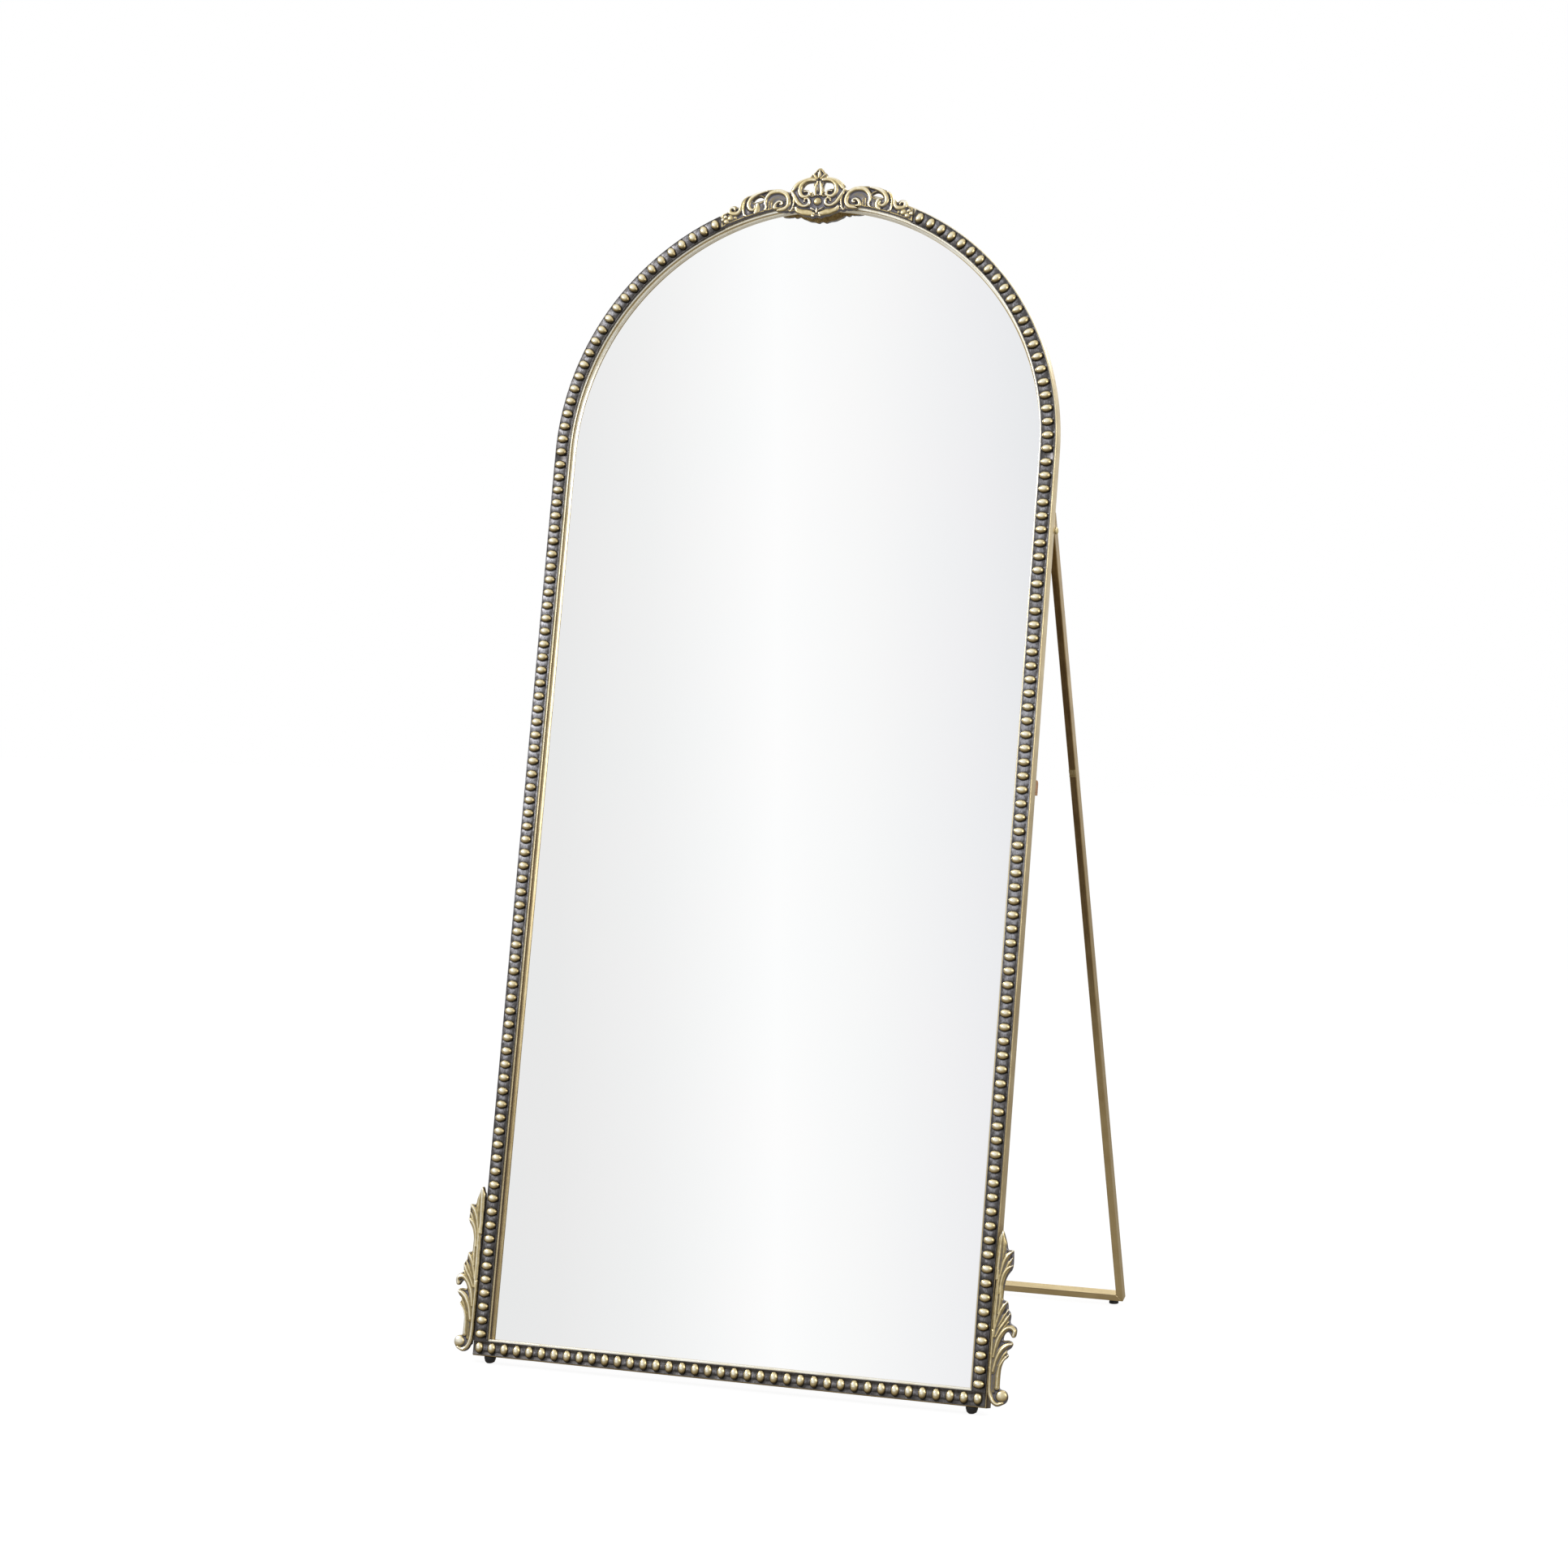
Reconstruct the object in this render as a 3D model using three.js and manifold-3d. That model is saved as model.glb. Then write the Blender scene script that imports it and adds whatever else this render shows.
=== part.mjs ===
// Arched floor mirror: a metal frame with beaded trim, a scroll crest and two corner leaves,
// leaning back on a folding U-shaped stand. Millimetres, +Z up, the mirror faces -Y.
//
// Two working frames are used before everything is set on the floor:
//   mirror frame: X right, Y back from the front face of the bars, Z up the mirror from its bottom edge
//   stand frame:  origin on the hinge line, X right, Y back, Z up along the legs

import * as THREE from 'three';
import { mergeGeometries, mergeVertices } from 'three/addons/utils/BufferGeometryUtils.js';
import Module from 'manifold-3d';

const wasm = await Module();
wasm.setup();

// ---------------------------------------------------------------- driving sizes

const SEAT_GAP = 0.3;              // left between any two pieces that rest on each other
const HOLE_GAP = 0.35;             // radial, round every pin, stud and screw
const SINK = 0.5;                  // how far raised ornament reaches into its plate

// Frame bars: rebated hollow section, "face" is the width seen from the front
const FRAME_WIDTH = 743;           // over the outer faces of the side bars
const ARCH_CENTRE_HEIGHT = 1273;   // from the bottom edge to the centre of the half-circle arch
const BAR_FACE = 23.5;
const BAR_DEPTH = 20;
const BAR_WALL = 1.5;
const BAR_CHAMFER = 1.2;           // on the outer front edge
const REBATE_WIDTH = 4.5;          // how far the glass reaches behind the front lip
const REBATE_FRONT = 9.5;          // from the bar's front face to the seat of the glass

// Glass and its backing board
const GLASS_THICKNESS = 4;
const GLASS_EDGE_GAP = 0.7;
const GLASS_BEVEL_WIDTH = 6;
const GLASS_BEVEL_DEPTH = 0.5;
const BOARD_THICKNESS = 3.5;

// Beaded trim strips on the front face of the bars
const STRIP_WIDTH = 19.5;
const STRIP_THICKNESS = 3;
const STRIP_MARGIN = 1.5;          // bare edge of the bar outside the strip
const BEAD_PITCH = 18.5;           // aimed at: each row takes the nearest whole number of beads
const BEAD_ACROSS = 16.2;
const BEAD_ALONG = 12.4;
const BEAD_HEIGHT = 4.5;
const BEAD_SHOULDER = [0.76, 0.62]; // shares of its radius and height where a bead turns over
const BEAD_SIDES = 6;

// Ornament, drawn on a square module
const MODULE = 18.5;
const CREST_HALF_SPAN = 7.73 * MODULE;  // half width of the crest where it meets the beaded strips
const CREST_JOINT = 2.2 * MODULE;       // half width of the centre cartouche
const CREST_PLATE = 4;
const CREST_RISE = 3.8;            // how far the scrolls stand out of their plate
const CREST_EDGE_RISE = 1;         // of the long edges of a scroll
const LEAF_PLATE = 3.5;
const LEAF_WEB_RECESS = 0.8;       // web between the lobes, behind their edges
const LEAF_RISE = 3;
const LEAF_BACK = 1;               // back of a corner leaf, behind the front face of the bars
const LEAF_TAB_HEIGHT = 4.5;
const LEAF_TAB_BACK = 6;
const LEAF_TAB_REACH = 0.3 * MODULE;

// Stand
const LEAN_DEGREES = 12.7;         // of the mirror, from the vertical
const STAND_SPLAY_DEGREES = 18.22; // of the legs, from the vertical
const HINGE_BELOW_ARCH = 106;      // from the centre of the arch down to the hinge line
const LEG_TOP = 24;                // leg above the hinge line
const LEG_WIDTH = 10;              // also the height of the crossbar, so that they meet in a mitre
const LEG_DEPTH = 15;
const TUBE_WALL = 1.2;
const LEG_PLUG = 30;               // solid length below the hinge line

// Hinge hardware
const PIN_RADIUS = 2.5;
const PIN_END = 1.5;               // pin past the nut
const PIN_HEAD_RADIUS = 5;
const PIN_HEAD_HEIGHT = 2;
const WASHER_THICKNESS = 1.3;
const WASHER_RADIUS = 5.5;
const NUT_THICKNESS = 3.4;
const NUT_RADIUS = 4.5;            // to its corners
const EAR_THICKNESS = 2.5;
const EAR_RADIUS = 7;
const FLANGE_WIDTH = 7;
const FLANGE_THICKNESS = 2;
const FLANGE_LENGTH = 44;
const BRACKET_SCREW_OFFSET = 15;   // above and below the hinge line

// Screws of the brackets and of the board clips
const SCREW_RADIUS = 1.4;
const SCREW_HEAD_RADIUS = 3;
const SCREW_HEAD_HEIGHT = 1.8;
const SCREW_REACH = 3;             // into the hollow of the bar
const SCREW_SIDES = 8;

// Clips that hold the backing board
const CLIP_WIDTH = 16;
const CLIP_THICKNESS = 1.2;
const CLIP_FOOT = 7.2;
const CLIP_TONGUE = 11;
const SIDE_CLIP_SHARES = [0.22, 0.68];  // of the height of the arch's centre
const ARCH_CLIP_DEGREES = 48;      // up from the ends of the arch
const BOTTOM_CLIP_SHARE = 0.51;    // of half the frame's width

// Latch that stops and holds the folded stand
const LATCH_DISTANCE = 350;        // below the hinge line
const LATCH_WIDTH = 8;
const LATCH_HEAD_HEIGHT = 20;
const LATCH_HEAD_DEPTH = 9.5;
const LATCH_HEAD_ROUNDING = 5;
const LATCH_NECK_HEIGHT = 12;
const LATCH_NECK_DEPTH = 4;
const LATCH_PLATE_UPPER_LIP = 4.4;
const LATCH_PLATE_SLOT = 4.6;
const LATCH_PLATE_LOWER_LIP = 1.5;
const LATCH_PLATE_BASE = 0.6;
const LATCH_PLATE_PROUD = 1.4;
const LATCH_PLATE_INSET = 0.5;     // from either side of the leg

// Feet
const FLOOR_CLEARANCE = 10.4;      // under the frame's front bottom edge
const REAR_CLEARANCE = 7.65;       // under the middle of the crossbar's underside
const FRONT_FOOT_INSET = 22.5;     // from the frame's outer face to the foot's middle
const FRONT_FOOT_RADIUS = 8.8;
const FRONT_FOOT_HEIGHT = 14;      // before it is cut level with the floor
const REAR_FOOT_INSET = 16.5;
const REAR_FOOT_RADIUS = 7.1;
const REAR_FOOT_HEIGHT = 13;
const FOOT_STUD_RADIUS = 2.4;
const FOOT_STUD_LENGTH = 5;

// Facets
const ARCH_STEP_DEGREES = 3.75;
const BOSS_SHOULDER = [0.72, 0.7];   // shares of its radius and rise where a boss turns over
const BAND_STEPS = 1.35;            // straight pieces for each point of a band's line
const ROUND_SIDES = 12;

// ---------------------------------------------------------------- ornament, in modules

// Crest: x from the middle, z from the middle of the beads at the crown of the arch.
// A band is a scroll or leaf: the line along its ridge, then its width at even steps along it.
const CENTRE_OUTLINE = [
  [0, -1.43], [0.33, -1.53], [0.62, -1.41], [1, -1.36], [1.38, -1.2], [1.62, -1.12], [1.84, -1],
  [2.1, -1.08], [2.32, -0.95], [2.36, -0.4], [2.34, 0], [2.2, 0.78], [1.9, 1.15], [1.5, 1.42], [1.1, 1.57],
  [0.78, 1.66], [0.62, 1.86], [0.4, 2.02], [0.2, 2.27], [0, 2.37],
];
const CENTRE_OPENING = [
  [0.4, 0.3], [0.6, 0.3], [0.66, 0.56], [0.92, 0.7], [1.22, 0.74], [1.22, 0.94], [1, 1.16], [0.72, 1.23],
  [0.44, 1.16],
];
const CENTRE_BANDS = [
  { line: [[0.36, 1.4], [0.7, 1.42], [1.08, 1.31], [1.36, 1.06], [1.48, 0.72], [1.44, 0.4], [1.27, 0.17],
    [1.03, 0.1], [0.78, 0.18], [0.68, 0.4], [0.86, 0.55], [1.1, 0.5]],
    widths: [0.3, 0.34, 0.36, 0.34, 0.34, 0.34, 0.32, 0.28, 0.24, 0.2, 0.14] },
  { line: [[0.7, 1.58], [1.1, 1.46], [1.48, 1.25], [1.8, 0.97], [2, 0.68]],
    widths: [0.16, 0.26, 0.36, 0.42, 0.26] },
  { line: [[2.16, 0.6], [1.96, 0.26], [1.76, -0.06], [1.55, -0.36], [1.25, -0.57], [0.98, -0.62],
    [0.72, -0.5], [0.64, -0.26], [0.8, -0.04], [1.02, -0.1]],
    widths: [0.2, 0.3, 0.34, 0.32, 0.28, 0.26, 0.24, 0.2, 0.16] },
  { line: [[1.7, -0.72], [1.52, -0.95], [1.2, -1.1], [0.85, -1.14], [0.5, -1.2], [0.28, -1.24]],
    widths: [0.24, 0.42, 0.54, 0.52, 0.46, 0.32] },
  { line: [[2.12, 0.28], [1.95, 0], [1.92, -0.4], [2.04, -0.76]], widths: [0.1, 0.14, 0.14, 0.1] },
  { line: [[1.95, -0.72], [2.12, -0.96]], widths: [0.2, 0.16] },
  { line: [[0.16, 1.5], [0.34, 1.7], [0.48, 1.84]], widths: [0.22, 0.24, 0.1] },
  { line: [[0.12, -0.98], [0.34, -0.86], [0.52, -0.76]], widths: [0.08, 0.17, 0.08] },
];
const CENTRE_SPINE = [
  { line: [[0, 0.26], [0, 0.62], [0, 1], [0, 1.32]], widths: [0.44, 0.72, 0.62, 0.3] },
  { line: [[0, 1.5], [0, 1.85], [0, 2.3]], widths: [0.3, 0.44, 0.06] },
  { line: [[0, -0.8], [0, -1.12]], widths: [0.12, 0.2] },
];
const CENTRE_BOSSES = [
  [0, -0.25, 0.34], [1.05, -0.24, 0.12], [-1.05, -0.24, 0.12], [0.26, -1.32, 0.16], [-0.26, -1.32, 0.16],
];

const WING_OUTLINE = [
  [2, 0.4], [2.6, 0.62], [3.15, 0.81], [4.05, 0.8], [4.7, 0.7], [5.35, 0.47], [5.9, 0.18], [6.22, -0.2],
  [6.42, -0.52], [6.7, -0.37], [7.1, -0.45], [7.22, -0.8], [7, -1.35], [6, -1.05], [5, -0.75], [4, -0.5],
  [3, -0.35], [2, -0.2],
];
const WING_TIP = [
  [2, -0.6], [2.35, -0.98], [2.8, -1], [3.26, -0.92], [3.05, -0.76], [2.6, -0.55],
];
const WING_OPENING = { x: 4.82, z: 0.03, radii: [0.38, 0.18] };
const WING_VOLUTE = [2.9, -0.42, 0.56];
const WING_BANDS = [
  { line: [[2.88, -0.46], [2.85, -0.28], [3.08, -0.18], [3.33, -0.34], [3.44, -0.58], [3.3, -0.76],
    [2.98, -0.82], [2.6, -0.74], [2.37, -0.5], [2.34, -0.1], [2.53, 0.3], [2.93, 0.55], [3.43, 0.59],
    [3.88, 0.44], [4.16, 0.1], [4.22, -0.26], [4.14, -0.56], [4.22, -0.8]],
    widths: [0.14, 0.22, 0.26, 0.28, 0.34, 0.38, 0.34, 0.34, 0.36, 0.38, 0.38, 0.36, 0.28, 0.2, 0.18] },
  { line: [[4.2, 0.66], [4.73, 0.52], [5.23, 0.27], [5.51, -0.05], [5.58, -0.4], [5.43, -0.7],
    [5.18, -0.78], [5.02, -0.64], [5.08, -0.46]],
    widths: [0.16, 0.28, 0.36, 0.36, 0.32, 0.28, 0.22, 0.16] },
  { line: [[4.88, -0.32], [4.84, -0.6], [4.9, -0.88], [5.02, -1.04]], widths: [0.24, 0.42, 0.44, 0.2] },
  { line: [[5.58, 0.3], [5.86, 0.04], [6, -0.36], [6, -0.76], [5.9, -1.16]],
    widths: [0.1, 0.18, 0.2, 0.22, 0.18] },
  { line: [[5.66, 0.34], [6.02, 0.04], [6.2, -0.36], [6.26, -0.76], [6.48, -1], [6.86, -1.02],
    [7.08, -0.86], [7.02, -0.62], [6.78, -0.58], [6.66, -0.74]],
    widths: [0.12, 0.22, 0.24, 0.3, 0.4, 0.36, 0.26, 0.22, 0.16] },
];
const WING_BOSSES = [
  [2.98, -0.42, 0.14], [4.19, -0.74, 0.14], [7.12, -1.38, 0.24], [7.38, -1.6, 0.18], [7.5, -1.4, 0.18],
];

// Corner leaf: x outwards from the side of the frame, z from the bottom row of beads.
// Each lobe is a band of full thickness, and a thinner web joins them out to the leaf's outline.
const LEAF_LOBES = [
  { line: [[0.18, 8.4], [0.25, 10], [0.3, 11.2], [0.38, 11.85]], widths: [0.3, 0.4, 0.46, 0.06] },
  { line: [[0.3, 8], [0.52, 9.3], [0.78, 10], [1.18, 10.42]], widths: [0.3, 0.5, 0.5, 0.12] },
  { line: [[0.42, 7.4], [0.56, 8.5], [0.84, 9.1], [1.22, 9.45]], widths: [0.34, 0.5, 0.46, 0.12] },
  { line: [[0.25, 4.4], [0.26, 6.2], [0.3, 8], [0.26, 9]], widths: [0.4, 0.46, 0.44, 0.2] },
  { line: [[0.46, 6], [0.52, 7], [0.5, 8.3]], widths: [0.4, 0.42, 0.3] },
  { line: [[0.3, 5], [0.52, 5.95], [0.76, 6.5], [1.06, 6.92]], widths: [0.4, 0.5, 0.46, 0.12] },
  { line: [[0.38, 4.4], [0.66, 5], [0.99, 5.5], [1.28, 6.08]], widths: [0.36, 0.5, 0.46, 0.1] },
  { line: [[0.32, 3], [0.48, 4], [0.76, 4.62], [1.1, 5.02], [1.44, 5.1], [1.7, 4.9], [1.66, 4.56]],
    widths: [0.44, 0.5, 0.42, 0.34, 0.26] },
  { line: [[0.36, 2], [0.56, 2.9], [0.88, 3.52], [1.24, 3.86], [1.58, 4.04]], widths: [0.5, 0.54, 0.46, 0.2] },
  { line: [[0.6, 0.9], [0.62, 1.8], [0.82, 2.5], [1.32, 3.24]], widths: [0.46, 0.5, 0.44, 0.12] },
  { line: [[0.24, 4.8], [0.26, 3], [0.26, 1.6], [0.28, 0.6], [0.48, 0.02], [0.84, -0.22], [1.2, -0.1]],
    widths: [0.34, 0.4, 0.36, 0.34, 0.24] },
  { line: [[0.62, 1.6], [0.66, 0.9], [0.8, 0.4]], widths: [0.4, 0.44, 0.3] },
];
const LEAF_BALL = [1.12, 0.32, 0.45];
const LEAF_TAB_PLACES = [0.6, 5.85, 10.2];
const LEAF_WEB = [
  [0.06, 11], [0.06, 0.6], [0.19, 0.1], [0.36, -0.2], [0.6, -0.36], [0.82, -0.4], [1.08, -0.3], [1.4, -0.1],
  [1.54, 0.2], [1.5, 0.52], [1.3, 0.74], [0.92, 0.84], [0.86, 1.2], [0.87, 2.1], [0.96, 2.55], [1.1, 2.84],
  [1.37, 3.12], [1.22, 3.45], [1.5, 3.7], [1.63, 3.96], [1.55, 4.15], [1.3, 4.24], [0.93, 4.22], [0.96, 4.55],
  [1.08, 4.73], [1.22, 4.8], [1.35, 4.73], [1.5, 4.5], [1.65, 4.44], [1.79, 4.55], [1.85, 4.85], [1.83, 5.08],
  [1.7, 5.24], [1.34, 5.46], [1.35, 5.9], [1.26, 6.2], [1.12, 6.35], [1.1, 6.6], [1, 6.92], [0.71, 7.02],
  [0.67, 7.3], [0.72, 8.1], [0.82, 8.52], [0.98, 8.84], [1.24, 9.3], [1.22, 10.36], [1.12, 10.5], [0.81, 10.52],
  [0.68, 10.96], [0.45, 11.6], [0.28, 11.85],
];

// ---------------------------------------------------------------- values that follow

const HALF_WIDTH = FRAME_WIDTH / 2;
const RIM_HALF_WIDTH = HALF_WIDTH - BAR_FACE + REBATE_WIDTH;
const RIM_WIDTH = BAR_FACE - REBATE_WIDTH;
const BEAD_INSET = STRIP_MARGIN + STRIP_WIDTH / 2;
const BEAD_RADIUS = HALF_WIDTH - BEAD_INSET;
const STRIP_OUTER = HALF_WIDTH - STRIP_MARGIN;
const STRIP_INNER = STRIP_OUTER - STRIP_WIDTH;
const GLASS_FRONT = REBATE_FRONT + SEAT_GAP;
const BOARD_FRONT = GLASS_FRONT + GLASS_THICKNESS + SEAT_GAP;
const BOARD_BACK = BOARD_FRONT + BOARD_THICKNESS;
const BAR_BACK_SEAT = BAR_DEPTH + SEAT_GAP;
const CREST_DATUM = ARCH_CENTRE_HEIGHT + BEAD_RADIUS;
const CREST_FRONT = -SEAT_GAP - CREST_PLATE;
const LEAF_FRONT = LEAF_BACK - LEAF_PLATE;
const CREST_EDGE = CREST_FRONT - CREST_EDGE_RISE;

const SIDE_BEADS = Math.round((ARCH_CENTRE_HEIGHT - BEAD_INSET) / BEAD_PITCH);
const SIDE_BEAD_STEP = (ARCH_CENTRE_HEIGHT - BEAD_INSET) / SIDE_BEADS;
const BOTTOM_BEADS = Math.round(2 * BEAD_RADIUS / BEAD_PITCH) - 1;
const BOTTOM_BEAD_STEP = 2 * BEAD_RADIUS / BOTTOM_BEADS;
const ARCH_BEAD_STEP = SIDE_BEAD_STEP / BEAD_RADIUS;
const CREST_END = Math.acos(CREST_HALF_SPAN / BEAD_RADIUS);

const LEAN = THREE.MathUtils.degToRad(LEAN_DEGREES);
const HINGE_HEIGHT = ARCH_CENTRE_HEIGHT - HINGE_BELOW_ARCH;
const HINGE_DEPTH = BAR_BACK_SEAT + LEG_DEPTH / 2;
const HINGE_ABOVE_FLOOR = HINGE_HEIGHT * Math.cos(LEAN) - HINGE_DEPTH * Math.sin(LEAN) + FLOOR_CLEARANCE;
const STAND_SPLAY = THREE.MathUtils.degToRad(STAND_SPLAY_DEGREES);
const LEG_LENGTH = (HINGE_ABOVE_FLOOR - REAR_CLEARANCE) / Math.cos(STAND_SPLAY);
const OPENING = LEAN + STAND_SPLAY;           // between the legs and the mirror

const LEG_CENTRE_X = HALF_WIDTH - LEG_WIDTH / 2;
const FRONT_FOOT_X = HALF_WIDTH - FRONT_FOOT_INSET;
const REAR_FOOT_X = HALF_WIDTH - REAR_FOOT_INSET;
const EAR_OUTER = HALF_WIDTH - LEG_WIDTH - WASHER_THICKNESS - 2 * SEAT_GAP;
const EAR_INNER = EAR_OUTER - EAR_THICKNESS;
const NUT_INNER = EAR_INNER - SEAT_GAP - NUT_THICKNESS;
const BRACKET_SCREW_X = EAR_OUTER - FLANGE_WIDTH / 2;

const X_AXIS = new THREE.Vector3(1, 0, 0);
const Y_AXIS = new THREE.Vector3(0, 1, 0);
const Z_AXIS = new THREE.Vector3(0, 0, 1);
const SIDES = [['left', -1], ['right', 1]];

// ---------------------------------------------------------------- materials

function metal(color, roughness) {
  return new THREE.MeshStandardMaterial({ color, roughness, metalness: 1 });
}

function plain(color, roughness) {
  return new THREE.MeshStandardMaterial({ color, roughness, metalness: 0 });
}

const FINISHES = {
  gold: metal(0xc0a974, 0.36),
  brass: metal(0xcdb77c, 0.3),
  pewter: metal(0x5a5d66, 0.42),
  standGold: metal(0xa58b5a, 0.42),
  silvered: metal(0xeef1f3, 0.03),
  zinc: metal(0xb9bcc0, 0.4),
  latch: plain(0xa8672f, 0.45),
  hardboard: plain(0x4a3a2c, 0.85),
  blackPlastic: plain(0x17171a, 0.4),
};

// ---------------------------------------------------------------- solids and placing

/** Closed geometry to a solid: corners merged, faces of no area dropped. */
function solid(geometry) {
  const bare = geometry.clone();
  bare.deleteAttribute('normal');
  bare.deleteAttribute('uv');
  const merged = mergeVertices(bare, 1e-4);
  const corners = merged.index.array;
  const kept = [];
  for (let i = 0; i < corners.length; i += 3) {
    const [a, b, c] = corners.subarray(i, i + 3);
    if (a !== b && b !== c && c !== a) kept.push(a, b, c);
  }
  return new wasm.Manifold(new wasm.Mesh({
    numProp: 3,
    vertProperties: new Float32Array(merged.attributes.position.array),
    triVerts: new Uint32Array(kept),
  }));
}

function union(first, ...others) {
  return others.reduce((sum, next) => sum.add(next), first);
}

function cut(first, ...others) {
  return others.reduce((rest, next) => rest.subtract(next), first);
}

/** Puts a solid into a group as a named mesh. */
function addPiece(group, name, body, material) {
  const mesh = body.getMesh();
  const geometry = new THREE.BufferGeometry();
  geometry.setAttribute('position', new THREE.BufferAttribute(new Float32Array(mesh.vertProperties), 3));
  geometry.setIndex(new THREE.BufferAttribute(new Uint32Array(mesh.triVerts), 1));
  geometry.computeVertexNormals();
  const piece = new THREE.Mesh(geometry, material.clone());
  piece.name = name;
  group.add(piece);
}

/** Shape through points given as pairs: outer line anticlockwise, hole clockwise. */
function polygon(points, hole) {
  const turn = (pairs, clockwise) => {
    const line = pairs.map(([x, y]) => new THREE.Vector2(x, y));
    return THREE.ShapeUtils.isClockWise(line) === clockwise ? line : line.reverse();
  };
  const shape = new THREE.Shape(turn(points, false));
  if (hole) shape.holes.push(new THREE.Path(turn(hole, true)));
  return shape;
}

function extrude(shape, depth, steps = 1, curveSegments = 6) {
  return new THREE.ExtrudeGeometry(shape, { depth, steps, curveSegments, bevelEnabled: false });
}

/** Lays the shape's own axes along two directions: the extrusion then runs along their cross product. */
function lay(geometry, shapeX, shapeY, origin) {
  const along = new THREE.Vector3().crossVectors(shapeX, shapeY);
  return geometry.applyMatrix4(new THREE.Matrix4().makeBasis(shapeX, shapeY, along).setPosition(origin));
}

/** Upright plate: a shape drawn in X and Z, between two depths. */
function plate(shape, front, back, curveSegments) {
  const blank = extrude(shape, back - front, 1, curveSegments);
  return lay(blank, X_AXIS, Z_AXIS, new THREE.Vector3(0, back, 0));
}

/** Bar along X: a shape drawn in Y and Z, centred on an X. */
function crosswise(shape, x, width) {
  return lay(extrude(shape, width), Y_AXIS, Z_AXIS, new THREE.Vector3(x - width / 2, 0, 0));
}

function rectangle(x0, x1, y0, y1) {
  return [[x0, y0], [x1, y0], [x1, y1], [x0, y1]];
}

function block(x0, x1, y0, y1, z0, z1) {
  return solid(plate(polygon(rectangle(x0, x1, z0, z1)), y0, y1));
}

/** Bends a section (radius, depth) round the centre of the arch, between two angles. */
function bend(shape, from, to) {
  const steps = Math.max(1, Math.ceil(THREE.MathUtils.radToDeg(to - from) / ARCH_STEP_DEGREES));
  const geometry = extrude(shape, 1, steps);
  const place = geometry.attributes.position;
  for (let i = 0; i < place.count; i += 1) {
    const angle = from + (to - from) * place.getZ(i);
    const radius = place.getX(i);
    place.setXYZ(i, radius * Math.cos(angle), place.getY(i), ARCH_CENTRE_HEIGHT + radius * Math.sin(angle));
  }
  return solid(geometry);
}

/** Turned piece: [radius, height] pairs up an axis that starts at a point. */
function turned(profile, axis, origin, sides = ROUND_SIDES) {
  const geometry = new THREE.LatheGeometry(profile.map(([r, h]) => new THREE.Vector2(r, h)), sides);
  const turn = new THREE.Quaternion().setFromUnitVectors(Y_AXIS, axis);
  return geometry.applyQuaternion(turn).translate(origin.x, origin.y, origin.z);
}

function rod(radius, axis, origin, from, to, sides) {
  return solid(turned([[0, from], [radius, from], [radius, to], [0, to]], axis, origin, sides));
}

/** Value at a share of the way along evenly spaced values. */
function valueAt(values, share) {
  const place = Math.min(share, 1) * (values.length - 1);
  const step = Math.min(Math.floor(place), values.length - 2);
  return THREE.MathUtils.lerp(values[step], values[step + 1], place - step);
}

/**
 * Ridged band along a smooth line in the X-Z plane: its two edges stand at one depth and its
 * ridge at another, nearer the front.
 */
function ridgedBand(points, widths, ridge, edge, back) {
  const curve = new THREE.SplineCurve(points);
  const steps = Math.round(BAND_STEPS * (points.length - 1));
  const section = polygon([[-1, back], [-1, edge], [0, ridge], [1, edge], [1, back]]);
  const geometry = extrude(section, 1, steps);
  const place = geometry.attributes.position;
  for (let i = 0; i < place.count; i += 1) {
    const share = place.getZ(i);
    const centre = curve.getPoint(share);
    const along = curve.getTangent(share);
    const offset = place.getX(i) * valueAt(widths, share) * MODULE / 2;
    place.setXYZ(i, centre.x + along.y * offset, place.getY(i), centre.y - along.x * offset);
  }
  return solid(geometry);
}

/** Low dome facing the front. */
function boss(centre, radius, ridge, edge, back, sides = 8) {
  const [reach, rise] = BOSS_SHOULDER;
  const shoulder = [reach * radius, rise * (edge - ridge) - edge];
  const profile = [[0, -back], [radius, -back], [radius, -edge], shoulder, [0, -ridge]];
  const forward = new THREE.Vector3(0, -1, 0);
  return solid(turned(profile, forward, new THREE.Vector3(centre.x, 0, centre.y), sides));
}

/** Everything on one side of the mitre line at a bottom corner, less half the seat gap. */
function mitreCutter(side, cornerZ, above) {
  const reach = 4 * BAR_FACE;
  const shift = (above ? -1 : 1) * SEAT_GAP * Math.SQRT1_2;
  const line = [[HALF_WIDTH + shift + reach, -reach], [HALF_WIDTH + shift - reach, reach]];
  const far = above ? [HALF_WIDTH + reach, reach] : [HALF_WIDTH - reach, -reach];
  const triangle = [...line, far].map(([x, z]) => [side * x, cornerZ + z]);
  return solid(plate(polygon(triangle), -BAR_DEPTH, 2 * BAR_DEPTH));
}

/** Everything below the floor, seen from a leaning group. */
function belowFloor(group) {
  const shape = polygon(rectangle(-FRAME_WIDTH, FRAME_WIDTH, -FRAME_WIDTH, -FLOOR_CLEARANCE));
  const slab = plate(shape, -FRAME_WIDTH, FRAME_WIDTH);
  group.updateMatrixWorld();
  return solid(slab.applyMatrix4(group.matrixWorld.clone().invert()));
}

// ---------------------------------------------------------------- frame bars, glass and board

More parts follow.
